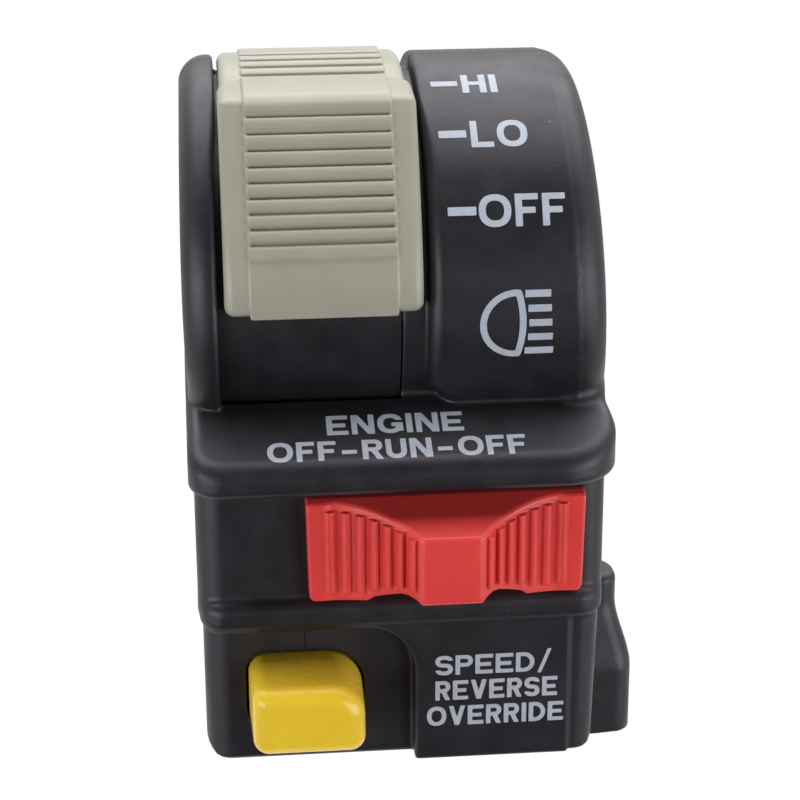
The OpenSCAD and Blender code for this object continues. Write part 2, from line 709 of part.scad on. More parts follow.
module slide_track() color([0.13, 0.13, 0.14]) difference() {
    sector(plate_r + seat_gap, track_r, track_x1 + seat_gap, plate_x2, -shelf_root_a - 4, 89.2);
    sector(plate_r - 1, track_r + 1, neck_x - neck_w / 2 - slide_gap, neck_x + neck_w / 2 + slide_gap,
           slot_low_a, slot_high_a);
}
module light_carrier() color([0.2, 0.2, 0.22]) difference() {
    union() {
        sector(saddle_r + slide_gap, plate_r - slide_gap, carrier_x1, carrier_x2,
               lamp_a - carrier_a, lamp_a + carrier_a);
        sector(plate_r - 1, neck_top, neck_x - neck_w / 2, neck_x + neck_w / 2,
               lamp_a - neck_a, lamp_a + neck_a);
    }
    rod_at(carrier_x1 - 1, carrier_x1 + pocket, mid_r, lamp_a, ball_r + seat_gap);
    rod_at(carrier_x2 - pocket, carrier_x2 + 1, mid_r, lamp_a, ball_r + seat_gap);
}
module light_detent_ball() color(steel)
    translate([ball_x, -mid_r * cos(lamp_a), mid_r * sin(lamp_a)]) sphere(ball_r);
module light_detent_spring() color(steel)
    translate([ball_x + ball_r + seat_gap, -mid_r * cos(lamp_a), mid_r * sin(lamp_a)])
        rotate([0, 90, 0])
            coil(ball_r - 0.35, 0.2, carrier_x1 + pocket - ball_x - ball_r - 2 * seat_gap, 3);
module light_wiper() color(brass) {
    sector(mid_r - 1.9, mid_r + 1.9, wiper_x1, wiper_x2, lamp_a - 6, lamp_a + 6);
    for (s = [-1, 1]) rod_at(wiper_x2 - 0.1, wiper_x2 + bump, mid_r + s * 1.4, lamp_a, 0.4);
}
module light_wiper_spring() color(steel)
    translate([carrier_x2 - pocket + seat_gap, -mid_r * cos(lamp_a), mid_r * sin(lamp_a)])
        rotate([0, 90, 0])
            coil(ball_r - 0.35, 0.2, wiper_x1 - carrier_x2 + pocket - 2 * seat_gap, 5);
module light_screw_holes(x1, x2) {
    for (a = [11, 84]) rod_at(x1, x2, mid_r, a, tap_d / 2 + seat_gap);
}
module light_board() color(board) difference() {
    sector(saddle_r + 0.3, plate_r - 0.4, board_x1, board_x1 + board_t, 4, 88.8);
    light_screw_holes(board_x1 - 1, rib_x1 + 1);
    sector(saddle_r + 1, saddle_r + 4, board_x1 - 1, rib_x1 + 1, lamp_a - 45, lamp_a - 35);
}
module light_pads() color(brass) {
    sector(mid_r - 2, mid_r - 0.8, pad_x, board_x1, lamp_a - 28, lamp_a + 24);
    sector(mid_r + 0.8, mid_r + 2, pad_x, board_x1, lamp_a - 5, lamp_a + 5);
    sector(mid_r + 0.8, mid_r + 2, pad_x, board_x1, lamp_a + lamp_up - 5, lamp_a + lamp_up + 5);
}
module light_board_screws() color(steel) for (a = [11, 84]) {
    rod_at(board_x1 - seat_gap, rib_x1 + 3, mid_r, a, tap_d / 2);
    rod_at(board_x1 - tap_head_h, board_x1 - seat_gap, mid_r, a, tap_head_d / 2);
}

// Engine-stop slide
function ramp_d(x) = knob_end_d + (knob_d - 0.4 - knob_end_d)
    * ((knob_w / 2 - 1.8 - x) / (knob_w / 2 - 1.8 - block_w / 2)) ^ ramp_power;
function flute_x(i) = block_w / 2
    + (knob_w / 2 - 1.8 - block_w / 2) * (0.928 - 0.164 * i + 0.0047 * i ^ 2);
notch_z = knob_low + notch_h - 0.7;
function knob_half() = concat(
    [[knob_w / 2, knob_base_d], [knob_w / 2, knob_end_d - 0.9], [knob_w / 2 - 0.3, knob_end_d - 0.3],
     [knob_w / 2 - 0.9, knob_end_d]],
    [for (i = [0:10]) let (x = knob_w / 2 - 1.8 - (knob_w / 2 - 1.8 - block_w / 2) * i / 10) [x, ramp_d(x)]],
    [[block_w / 2 - 0.5, knob_d]]);
function knob_top_at(d) = knob_top - knob_taper_top * max(0, d - knob_end_d + 1) / (knob_d - knob_end_d + 1);
function knob_low_at(d) = knob_low + knob_taper_low * max(0, d - knob_end_d + 1) / (knob_d - knob_end_d + 1);
module stop_knob() color([0.86, 0.2, 0.16]) translate([stop_x, 0, 0]) difference() {
    union() {
        intersection() {
            translate([0, 0, -far]) linear_extrude(height = far) polygon(
                [for (p = concat(knob_half(), [for (i = [len(knob_half()) - 1:-1:0])
                    [-knob_half()[i][0], knob_half()[i][1]]])) [p[0], -p[1]]]);
            along_bar(-far, far) polygon(rounded([
                [knob_base_d - 1, knob_top, 0], [knob_end_d - 1, knob_top, 0],
                [knob_d, knob_top_at(knob_d), 1], [knob_d, knob_low_at(knob_d), 1],
                [knob_end_d - 1, knob_low, 0], [knob_base_d - 1, knob_low, 0]]));
        }
        slab(-stem_w / 2, stem_w / 2, stem_d1, knob_base_d + 1, stop_z - stem_h / 2, stop_z + stem_h / 2);
    }
    for (s = [-1, 1], i = [0:knob_flutes - 1])
        let (x = flute_x(i), d = ramp_d(x), z = max(knob_low_at(d), x < notch_w / 2 ? notch_z : knob_low))
            rod_z(s * x, d + knob_flute_r - knob_flute_t, z + knob_border_low,
                  knob_top_at(d) - knob_border_top, knob_flute_r);
    for (s = [-1, 1]) towards(0, far) polygon([for (p = rounded([
        [block_w / 2 + 0.1, knob_low - 1, 0], [block_w / 2 + 0.6, knob_low + notch_h, 0.5],
        [block_w / 2 + 1.6, knob_low + notch_h, 0.5], [notch_w / 2, knob_low + 0.9, 0.5],
        [notch_w / 2 + 1.1, knob_low - 1, 0]])) [s * p[0], p[1]]]);
}
module stop_carrier() color([0.2, 0.2, 0.22]) translate([stop_x, 0, 0]) difference() {
    slab(-stop_carrier_w / 2, stop_carrier_w / 2, carrier_d1, carrier_d2,
         stop_z - carrier_hz, stop_z + carrier_hz);
    slab(-stem_w / 2 - seat_gap, stem_w / 2 + seat_gap, stem_d1 - seat_gap, far,
         stop_z - stem_h / 2 - seat_gap, stop_z + stem_h / 2 + seat_gap);
    for (s = [-1, 1]) rod_y(s * spring_x, 0, carrier_d1 + 3, stop_z, 1.5);
    rod_z(stop_ball_x, stop_ball_d, -far, ball_z + 5, ball_r + seat_gap);
}
module stop_detent_ball() color(steel)
    translate([stop_x + stop_ball_x, -stop_ball_d, ball_z]) sphere(ball_r);
module stop_detent_spring() color(steel)
    translate([stop_x + stop_ball_x, -stop_ball_d, ball_z + ball_r + seat_gap])
        coil(ball_r - 0.35, 0.2, 5 - ball_r - 2 * seat_gap, 3.5);
module stop_wiper() color(brass) translate([stop_x, 0, 0]) {
    slab(-spring_x - wiper_end, spring_x + wiper_end, stop_wiper_d, stop_wiper_d + wiper_t,
         stop_z - wiper_h / 2, stop_z + wiper_h / 2);
    for (s = [-1, 1]) rod_y(s * spring_x, stop_wiper_d - bump, stop_wiper_d + 0.1, stop_z, 0.8);
}
module stop_wiper_springs() color(steel) for (s = [-1, 1])
    translate([stop_x + s * spring_x, -stop_wiper_d - wiper_t - seat_gap, stop_z]) rotate([90, 0, 0])
        coil(1.15, 0.2, carrier_d1 + 3 - stop_wiper_d - wiper_t - 2 * seat_gap, 5);
module stop_board() color(board) difference() {
    slab(-stop_in + 0.2, stop_in - 0.2, stop_board_d - board_t, stop_board_d,
         stop_z - stop_board_hz, stop_z + stop_board_hz);
    for (s = [-1, 1]) rod_y(s * boss_x, 0, far, stop_z, tap_d / 2 + seat_gap);
    for (s = [-1, 1]) rod_y(s * spring_x, 0, far, stop_z - 3, 0.5 + seat_gap);
}
module stop_pads() color(brass) for (s = [-1, 1]) {
    slab(s * spring_x - 2.4, s * spring_x + 2.4, stop_board_d, stop_board_d + pad_t,
         stop_z - 3.8, stop_z + 1.4);
    rod_y(s * spring_x, stop_board_d - board_t - 2.5, stop_board_d + 0.1, stop_z - 3, 0.5);
}
module stop_board_screws() color(steel) for (s = [-1, 1]) {
    rod_y(s * boss_x, stop_board_d - board_t - seat_gap, stop_board_d + tap_l, stop_z, tap_d / 2);
    rod_y(s * boss_x, stop_board_d - board_t - tap_head_h, stop_board_d - board_t - seat_gap, stop_z,
          tap_head_d / 2);
}

// Override button
module button_outline(inset) {
    hw = button_w / 2 - inset;
    hh = button_h / 2 - inset;
    r = button_r - inset;
    translate([button_x, button_z])
        polygon(rounded([[-hw, -hh, r], [hw, -hh, r], [hw, hh, button_top_r - inset], [-hw, hh, r]]));
}
module override_button() color([0.93, 0.8, 0.2]) {
    towards(flange_d2 - 0.5, low_face_d + 1) button_outline(0);
    towards(low_face_d, button_d - 1.6) button_outline(button_taper * 0.5);
    towards(button_d - 2, button_d - 0.7) button_outline(button_taper * 0.5 + 0.3);
    towards(button_d - 1, button_d) button_outline(button_taper * 0.5 + 0.9);
    slab(button_x - button_w / 2 + 0.3, button_x + button_w / 2 - 0.3, flange_d1, flange_d2,
         button_z - button_h / 2 - button_lip, button_z + button_h / 2 + button_lip);
    rod_y(button_x, bridge_d2 + seat_gap, flange_d1 + 1, button_z, plunger_r);
}
module override_bridge() color(brass)
    rod_y(button_x, bridge_d2 - bridge_t, bridge_d2, button_z, contact_r);
return_h = flange_d1 - collar_d - 2 * seat_gap;
return_wire = 0.35;
echo(least_gap_in_return_spring = (return_h - 2 * return_wire) / return_turns - 2 * return_wire);
module override_spring() color(steel)
    translate([button_x, -collar_d - seat_gap, button_z]) rotate([90, 0, 0])
        coil(coil_r, return_wire, return_h, return_turns);
module override_base() color(board) difference() {
    union() {
        slab(button_x - collar_out - 0.9, base_screw(-1)[0] + base_edge, base_d2 - base_t, base_d2,
             button_z - base_hz, button_z + base_hz);
        rod_y(button_x, base_d2 - 0.5, collar_d, button_z, collar_out);
    }
    rod_y(button_x, base_d2, far, button_z, collar_r);
    for (s = [-1, 1]) rod_y(base_screw(s)[0], 0, far, base_screw(s)[1], tap_d / 2 + seat_gap);
    for (s = [-1, 1]) rod_y(button_x + s * pin_x, -1, far, button_z, pin_r + seat_gap);
}
module override_contacts() color(brass) for (s = [-1, 1]) {
    intersection() {
        rod_y(button_x, base_d2 + seat_gap, base_d2 + 1.7, button_z, contact_r);
        slab(button_x + (s < 0 ? -9 : 0.4), button_x + (s < 0 ? -0.4 : 9), 0, far,
             button_z - 9, button_z + 9);
    }
    rod_y(button_x + s * pin_x, base_d2 - base_t - 2, base_d2 + 0.5, button_z, pin_r);
}
module override_screws() color(steel) for (s = [-1, 1]) {
    rod_y(base_screw(s)[0], base_d2 - base_t - seat_gap, base_d2 + tap_l, base_screw(s)[1], tap_d / 2);
    rod_y(base_screw(s)[0], base_d2 - base_t - tap_head_h, base_d2 - base_t - seat_gap,
          base_screw(s)[1], tap_head_d / 2);
}

rear_housing();
front_housing();
clamp_screws();
harness_grommet();
slide_track();
light_cap();
light_carrier();
light_detent_ball();
light_detent_spring();
light_wiper();
light_wiper_spring();
light_board();
light_pads();
light_board_screws();
stop_knob();
stop_carrier();
stop_detent_ball();
stop_detent_spring();
stop_wiper();
stop_wiper_springs();
stop_board();
stop_pads();
stop_board_screws();
override_button();
override_bridge();
override_spring();
override_base();
override_contacts();
override_screws();
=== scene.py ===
import bpy
import bmesh
import math
import numpy as np
from mathutils import Vector, Matrix


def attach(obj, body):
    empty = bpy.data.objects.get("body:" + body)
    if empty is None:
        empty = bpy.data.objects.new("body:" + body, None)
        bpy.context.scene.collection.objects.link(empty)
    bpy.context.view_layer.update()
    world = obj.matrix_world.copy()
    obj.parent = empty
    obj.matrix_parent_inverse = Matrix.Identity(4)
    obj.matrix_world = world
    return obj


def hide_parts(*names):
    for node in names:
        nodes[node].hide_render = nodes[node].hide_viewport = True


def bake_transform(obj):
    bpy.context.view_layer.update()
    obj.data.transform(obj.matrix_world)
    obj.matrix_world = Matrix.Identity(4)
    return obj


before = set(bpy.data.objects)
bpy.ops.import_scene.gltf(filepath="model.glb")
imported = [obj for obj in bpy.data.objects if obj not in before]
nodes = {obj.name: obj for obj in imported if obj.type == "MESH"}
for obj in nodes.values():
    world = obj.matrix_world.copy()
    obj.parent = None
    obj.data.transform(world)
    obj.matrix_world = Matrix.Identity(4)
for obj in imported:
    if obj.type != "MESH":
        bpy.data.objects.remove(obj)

MM = 0.001
scene = bpy.context.scene
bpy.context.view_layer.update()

# Shape fields
# Each moulded piece is a field in millimetres, negative inside, in the shared frame.
# d is the distance from the bar axis towards the rider, d = -y.


def rmax(a, b, r):
    """Meeting of two fields with the convex edge rounded to radius r."""
    u = np.maximum(a + r, 0.0)
    v = np.maximum(b + r, 0.0)
    return np.minimum(np.maximum(a, b), -r) + np.sqrt(u * u + v * v)


def rmin(a, b, r):
    """Union of two fields with the inner corner filleted to radius r."""
    return -rmax(-a, -b, r)


def most(*fields):
    out = fields[0]
    for f in fields[1:]:
        out = np.maximum(out, f)
    return out


def least(*fields):
    out = fields[0]
    for f in fields[1:]:
        out = np.minimum(out, f)
    return out


def share(t, whole):
    """Share of a whole, from none to all of it."""
    return np.clip(t / whole, 0.0, 1.0)


def ease(a, b, t):
    """Smooth rise from 0 at a to 1 at b."""
    t = share(t - a, b - a)
    return t * t * (3.0 - 2.0 * t)


def slab(x1, x2, d1, d2, z1, z2, x, d, z):
    return most(x1 - x, x - x2, d1 - d, d - d2, z1 - z, z - z2)


def rod_y(cx, cz, r, d1, d2, x, d, z):
    return most(np.sqrt((x - cx) ** 2 + (z - cz) ** 2) - r, d1 - d, d - d2)


def rods(places, r, d1, d2, x, d, z):
    return least(*[rod_y(cx, cz, r, d1, d2, x, d, z) for cx, cz in places])


def ball(cx, cd, cz, r, x, d, z):
    return np.sqrt((x - cx) ** 2 + (d - cd) ** 2 + (z - cz) ** 2) - r


def within(t, ends):
    return most(ends[0] - t, t - ends[1])


def spline(points, t):
    """Smooth curve through [place, height] pairs, as in the part's source."""
    p = np.array(points, float)
    xs, ys = p[:, 0], p[:, 1]
    m = np.empty(len(xs))
    m[1:-1] = (ys[2:] - ys[:-2]) / (xs[2:] - xs[:-2])
    m[0] = (ys[1] - ys[0]) / (xs[1] - xs[0])
    m[-1] = (ys[-1] - ys[-2]) / (xs[-1] - xs[-2])
    i = np.clip(np.searchsorted(xs, t, side="right") - 1, 0, len(xs) - 2)
    w = xs[i + 1] - xs[i]
    u = share(t - xs[i], w)
    return ((2 * u ** 3 - 3 * u ** 2 + 1) * ys[i] + (u ** 3 - 2 * u ** 2 + u) * w * m[i]
            + (3 * u ** 2 - 2 * u ** 3) * ys[i + 1] + (u ** 3 - u ** 2) * w * m[i + 1])


# Sizes shared by the fields, in millimetres
BAR_R, SADDLE_R, DRUM_R, TRACK_R, PLATE_R = 11.1, 13.1, 23.5, 21.5, 19.9
X_L, X_R, TRACK_1, TRACK_2, PLATE_2 = -22.75, 23.04, -19.0, 3.5, 0.6
Z_BEAD, BEAD_R, Z_BOTTOM, WALL = -34.2, 1.75, -53.05, 2.4
BODY_X, STOP_W, LOWER_W, BEAD_W = 0.5, 22.75, 22.3, 22.6
STOP_FACE, BUTTON_FACE, PANEL_FACE, BEAD_FACE = 23.5, 22.1, 24.3, 24.6
CORNER, SHARP, OVERLAP, FAR = 3.0, 0.1, 0.5, 60.0
PARTING, PARTING_EDGE = 0.03, 0.12

# Thumb shelf: slope, root on the drum, nose, sides, edges, and its fillet to the drum
SHELF_TILT, ROOT_ANGLE = math.radians(23), math.radians(29)
SLOPE, C_SLOPE = math.tan(SHELF_TILT), math.cos(SHELF_TILT)
ROOT_D, ROOT_Z = DRUM_R * math.cos(ROOT_ANGLE), -DRUM_R * math.sin(ROOT_ANGLE)
SHELF_D, SHELF_T, SHELF_BACK = 29.0, 3.4, 9.0
NOSE_Z = ROOT_Z - (SHELF_D - ROOT_D) * SLOPE
SHELF_LOW = NOSE_Z - SHELF_T
SHELF_L, SHELF_R, SHELF_OUT, SHELF_OUT_D = -22.8, 22.9, 1.05, (15.0, 23.5)
NOSE_L, NOSE_R, SHELF_TOP_EDGE, SHELF_LOW_EDGE = 3.8, 6.5, 1.5, 1.0
FILLET, FILLET_L, FILLET_R = 0.1, 0.45, 1.0
FILLET_L_X, FILLET_R_X = (-21.0, -18.5), (17.0, 20.5)

# Places of the controls, screws and outlet
KNOB_GAP_TOP, KNOB_GAP_LOW, STOP_X = 1.9, 0.1, 5.1
KNOB_TOP, KNOB_LOW = SHELF_LOW - KNOB_GAP_TOP, Z_BEAD + BEAD_R + KNOB_GAP_LOW
STOP_Z = 0.5 * (KNOB_TOP + KNOB_LOW)
LOWER_BASE, LOWER_H = -53.0, 18.8
BUTTON_X, BUTTON_Z, BUTTON_W, BUTTON_H = -10.5, LOWER_BASE + LOWER_H * 0.46, 12.9, LOWER_H * 0.455
BUTTON_CORNER, BIG_CORNER, BUTTON_GAP = 2.0, 4.1, 0.22
SCREWS = ((12.0, 16.6), (15.3, LOWER_BASE + LOWER_H * 0.543))
STOP_BOSSES = ((18.15, STOP_Z), (-18.15, STOP_Z))
BASE_BOSSES = ((-1.35, -40.5), (2.45, -48.2))
OUTLET_X, OUTLET_D, OUTLET_R, OUTLET_Z = 24.5, 8.0, 5.0, -57.2

# Drum: skin, right end, left end, edges, and the channel's walls and rims
DRUM_SKIN = DRUM_R - 0.22
RIGHT_LEAN, LEAN_FROM = 0.052, -9.0
CROWN_Z, CROWN_UP, CROWN_DOWN = 2.0, 0.0011, 0.002
RIGHT_EDGE, LEFT_EDGE, CHANNEL_FOOT = 3.5, 3.0, 0.35
SEAM_STEP, SEAM_X = 0.1, (-3.45, -3.2)
FLARE, FLARE_Z = 2.0, (-8.8, -11.6)
NARROW, NARROW_Z = 0.5, (14.0, 20.5)
RIM_L, RIM_R, RIM_R_LOSS, RIM_Z, RIM_SPLIT = 0.55, 1.6, 0.9, (14.0, 21.0), -8.0


def about_bar(y, z):
    """Depth towards the rider, radius and angle about the bar."""
    return -y, np.sqrt(y * y + z * z), np.degrees(np.arctan2(z, -y))


def right_end(z):
    """Right end of the drum, which leans in towards the top."""
    return X_R - RIGHT_LEAN * most(z, LEAN_FROM)


def left_end(z):
    """Left end of the drum, which is slightly crowned."""
    over, under = most(z - CROWN_Z, 0.0), least(z - CROWN_Z, 0.0)
    return X_L + CROWN_UP * over ** 2 + CROWN_DOWN * under ** 2


def drum(x, z, radius):
    """Outside of the drum, and the channel that the slide runs in."""
    seam = SEAM_STEP * ease(*SEAM_X, x - right_end(z))
    f = rmax(rmax(radius - DRUM_SKIN + seam, x - right_end(z), RIGHT_EDGE), left_end(z) - x, LEFT_EDGE)
    right = TRACK_2 + FLARE * ease(*FLARE_Z, z)
    left = TRACK_1 + NARROW * ease(*NARROW_Z, z)
    cut = rmax(rmax(TRACK_R - radius, x - right, CHANNEL_FOOT), left - x, CHANNEL_FOOT)
    return f, cut


def channel_edge(x, z):
    """Radius of the channel's upper edges: small on the left, large on the right but for the top."""
    return np.where(x > RIM_SPLIT, RIM_R - RIM_R_LOSS * ease(*RIM_Z, z), RIM_L)


def button_plan(x, z, grow):
    """Outline of the button, whose upper right corner is the roundest."""
    hw, hh = BUTTON_W / 2 + grow, BUTTON_H / 2 + grow
    u, v = x - BUTTON_X, z - BUTTON_Z
    small, big = BUTTON_CORNER + grow, BIG_CORNER + grow
    top = rmax(rmax(u - hw, v - hh, big), -u - hw, small)
    low = rmax(rmax(u - hw, -v - hh, small), -u - hw, small)
    side = rmax(v - hh, -u - hw, small)
    return most(top, low, side)


def shelf_field(x, d, z):
    """Sloping thumb shelf over the engine-stop knob."""
    top = (z - ROOT_Z + (d - ROOT_D) * SLOPE) * C_SLOPE
    right = SHELF_R + SHELF_OUT * ease(*SHELF_OUT_D, d)
    plan = rmax(rmax(x - right, d - SHELF_D, NOSE_R), SHELF_L - x, SHARP)
    plan = most(plan, rmax(SHELF_L - x, d - SHELF_D, NOSE_L))
    f = rmax(rmax(plan, top, SHELF_TOP_EDGE), SHELF_LOW - z, SHELF_LOW_EDGE)
    return most(f, SHELF_BACK - d)


# Lower section: lean and step at its right, feet, panel and button recess
LOWER_LEAN, LEAN_TOP = 0.028, -36.0
STEP_X, STEP_DEPTH, STEP_FOOT = (19.05, 19.35), 0.35, 0.15
FOOT_L, FOOT_R, FOOT_EDGE = 2.5, 1.8, 0.6
PANEL_CORNER, PANEL_FOOT, PANEL_FILLET = 2.6, 0.5, 0.3
RECESS_X, RECESS_TOP, RECESS_R, RECESS_EDGE = 1.7, -36.25, 5.5, 0.45


def lower_field(x, d, z):
    """Lower section: the button face, and the label panel that stands in front of it."""
    u = x - BODY_X
    right = LOWER_W - LOWER_LEAN * most(LEAN_TOP - z, 0.0)
    side = most(-LOWER_W - u, u - right)
    step = ease(*STEP_X, x)
    foot = Z_BOTTOM + STEP_FOOT * step - z
    corner = most(rmax(-LOWER_W - u, foot, FOOT_L), rmax(u - right, foot, FOOT_R))
    top = z - Z_BEAD - OVERLAP
    f = most(rmax(rmax(side, d - BUTTON_FACE, CORNER), foot, FOOT_EDGE), corner, top)
    face = d - PANEL_FACE + STEP_DEPTH * step
    recess = rmax(x - RECESS_X, z - RECESS_TOP, RECESS_R)
    panel = rmax(rmax(rmax(side, face, PANEL_CORNER), foot, PANEL_FOOT), -recess, RECESS_EDGE)
    return rmin(f, most(panel, corner, top), PANEL_FILLET)


# Outlet hood: sides, how far it slims upwards, and corners
HOOD_X, HOOD_D, HOOD_TOP = 29.05, 12.9, -37.25
HOOD_SLIM, HOOD_SLIM_Z, HOOD_TURN, HOOD_TAPER = 1.8, (-49.2, -40.6), 0.1, 0.93
HOOD_FRONT_R, HOOD_BACK_R, HOOD_TOP_EDGE, MOUTH_EDGE = 2.0, 3.0, 0.9, 0.3


def hood_field(x, d, z):
    """Outlet hood with a flat front, slim at the top and wide at its mouth."""
    slim = HOOD_SLIM * ease(*HOOD_SLIM_Z, z)
    side = x - HOOD_X + slim
    face = d - HOOD_D + HOOD_TURN * (x - OUTLET_X) + slim
    back = OUTLET_D - OUTLET_R - d + slim
    f = rmax(rmax(side, face, HOOD_FRONT_R), back, HOOD_BACK_R) * HOOD_TAPER
    f = most(f, OUTLET_X - OUTLET_R - x)
    return rmax(rmax(f, z - HOOD_TOP, HOOD_TOP_EDGE), OUTLET_Z - z, MOUTH_EDGE)


# Bead under the knob, and fillets of the rider-side half
BEAD_TOP, BEAD_LOW, BEAD_TOP_EDGE, BEAD_LOW_EDGE = Z_BEAD + BEAD_R, -35.75, 1.5, 0.7
STOP_TOP = -16.0
STOP_FILLET, BEAD_FILLET, LOWER_FILLET, HOOD_FILLET = 0.5, 0.3, 0.35, 0.9


def rear_skin(x, y, z):
    """Outside of the rider-side half, before it is hollowed."""
    d, radius, _ = about_bar(y, z)
    f, cut = drum(x, z, radius)
    f = rmax(f, -cut, channel_edge(x, z))
    fillet = FILLET + FILLET_L * ease(*FILLET_L_X, x) + FILLET_R * ease(*FILLET_R_X, x)
    f = rmin(f, shelf_field(x, d, z), fillet)
    u = np.abs(x - BODY_X)
    stop = most(rmax(u - STOP_W, d - STOP_FACE, CORNER), z - STOP_TOP, Z_BEAD - OVERLAP - z)
    f = rmin(f, stop, STOP_FILLET)
    bead = rmax(u - BEAD_W, d - BEAD_FACE, CORNER)
    bead = rmax(rmax(bead, z - BEAD_TOP, BEAD_TOP_EDGE), BEAD_LOW - z, BEAD_LOW_EDGE)
    f = rmin(f, rmin(lower_field(x, d, z), bead, BEAD_FILLET), LOWER_FILLET)
    return rmin(f, hood_field(x, d, z), HOOD_FILLET)


# Rooms inside the rider-side half
STOP_IN, STOP_BACK, STOP_ROOF = 19.85, 21.1, 9.2
LOW_IN, LOW_BACK = 19.5, 19.7
PLATE_IN, SLIDE_ROOM_R, SLIDE_ROOM_X = -18.2, 19.0, -17.2
RIGHT_ROOM_R, RIGHT_ROOM_X = 20.6, (6.0, 19.5)
# Rails of the engine-stop carrier, posts of the clamp screws, bosses
RAIL_X, RAIL_D, RAIL_T, RAIL_UP, RAIL_DOWN = 20.85, (15.6, 22.1), 1.8, 5.5, 7.3
POST_R, POST_WALL, LOW_POST_D = 4.6, 0.9, 20.7
BOSS_R, STOP_BOSS_D, BASE_BOSS_D = 1.5, (12.35, 22.1), (6.7, 20.7)
# Holes for the screws
CLAMP_TAP_R, CLAMP_TAP_D = 2.45, 11.5
TAP_R, STOP_TAP_D, BASE_TAP_D = 1.0, 17.3, 11.65
BOARD_AT, BOARD_TAP_X, BOARD_TAP_A = 16.5, 3.6, (11.0, 84.0)
# Seat of the slide plate, slots for leads and knob, bore of the outlet and seat of its grommet
PLATE_OVER, PLATE_GAP, PLATE_END = 0.6, 0.12, -34.0
LEAD_R, LEAD_X, LEAD_A = (14.1, 17.1), (-1, 7), (6.0, 16.0)
SLOT_X, SLOT_D, SLOT_Z = 9.4, (20.1, 24.5), 2.5
BORE_R, BORE_TOP, GROMMET_R, GROMMET_TOP = 3.4, -46.2, 4.1, -55.95
OUTLET_SLOT = (18.5, OUTLET_X, 5.8, 10.2, -49.0, BORE_TOP)
# Hollows that the detent balls drop into
HOLLOW_R = 1.7
LAMP_X, LAMP_AT, LAMP_A = -17.9, 16.5, (30.0, 51.0, 71.0)
STOP_BALL_X, STOP_BALL_D, BALL_DROP, STOP_TRAVEL = 9.4, 18.5, 4.4, 5.1
# Hole for the button
HOLE_D, HOLE_EDGE = (18.7, 23.1), 0.3


def rear_half(x, y, z):
    """Rider-side half with its cavity, rails, bosses and holes."""
    d, radius, angle = about_bar(y, z)
    f = rear_skin(x, y, z)
    tube = SADDLE_R - radius
    hollow = least(
        most(tube, radius - PLATE_R, PLATE_IN - x, x),
        most(tube, radius - SLIDE_ROOM_R, TRACK_1 - x, x - SLIDE_ROOM_X),
        most(tube, radius - RIGHT_ROOM_R, within(x, RIGHT_ROOM_X)),
        most(slab(-STOP_IN, STOP_IN, -1, STOP_BACK, Z_BEAD, STOP_Z + STOP_ROOF, x, d, z), tube),
        most(slab(-LOW_IN, LOW_IN, -1, LOW_BACK, Z_BOTTOM + WALL, Z_BEAD + 1, x, d, z), tube))
    f = most(f, -hollow)
    rails = [slab(-RAIL_X, RAIL_X, *RAIL_D, z1, z1 + RAIL_T, x, d, z)
             for z1 in (STOP_Z + RAIL_UP, STOP_Z - RAIL_DOWN)]
    f = least(f, *rails,
              most(rod_y(*SCREWS[0], POST_R, 0, FAR, x, d, z), radius - DRUM_R + POST_WALL),
              rod_y(*SCREWS[1], POST_R, 0, LOW_POST_D, x, d, z),
              rods(STOP_BOSSES, BOSS_R, *STOP_BOSS_D, x, d, z),
              rods(BASE_BOSSES, BOSS_R, *BASE_BOSS_D, x, d, z))
    from_outlet = np.sqrt((x - OUTLET_X) ** 2 + (d - OUTLET_D) ** 2)
    holes = [
        radius - BAR_R,
        most(PLATE_R - radius, radius - TRACK_R - PLATE_OVER, TRACK_1 - x, x - PLATE_2 - PLATE_GAP,
             PLATE_END - angle),
        most(PLATE_R - OVERLAP - radius, radius - PLATE_R - OVERLAP, PLATE_IN - x, x, PLATE_END - angle),
        most(within(radius, LEAD_R), within(x, LEAD_X), within(angle, LEAD_A)),
        slab(-SLOT_X, SLOT_X, *SLOT_D, STOP_Z - SLOT_Z, STOP_Z + SLOT_Z, x, d, z),
        most(from_outlet - BORE_R, z - BORE_TOP),
        most(from_outlet - GROMMET_R, z - GROMMET_TOP),
        slab(*OUTLET_SLOT, x, d, z),
        rods(SCREWS, CLAMP_TAP_R, -1, CLAMP_TAP_D, x, d, z),
        rods(STOP_BOSSES, TAP_R, -1, STOP_TAP_D, x, d, z),
        rods(BASE_BOSSES, TAP_R, -1, BASE_TAP_D, x, d, z)]
    for a in BOARD_TAP_A:
        t = math.radians(a)
        away = np.hypot(d - BOARD_AT * math.cos(t), z - BOARD_AT * math.sin(t))
        holes.append(most(away - TAP_R, -1 - x, x - BOARD_TAP_X))
    for a in LAMP_A:
        t = math.radians(a)
        holes.append(ball(LAMP_X, LAMP_AT * math.cos(t), LAMP_AT * math.sin(t), HOLLOW_R, x, d, z))
    for k in (1, 0, -1):
        holes.append(ball(STOP_BALL_X + STOP_TRAVEL * k, STOP_BALL_D, STOP_Z - BALL_DROP, HOLLOW_R, x, d, z))
    f = most(f, -least(*holes))
    hole = most(button_plan(x, z, BUTTON_GAP), within(d, HOLE_D))
    f = rmax(f, -hole, HOLE_EDGE)
    return rmax(f, PARTING - d, PARTING_EDGE)


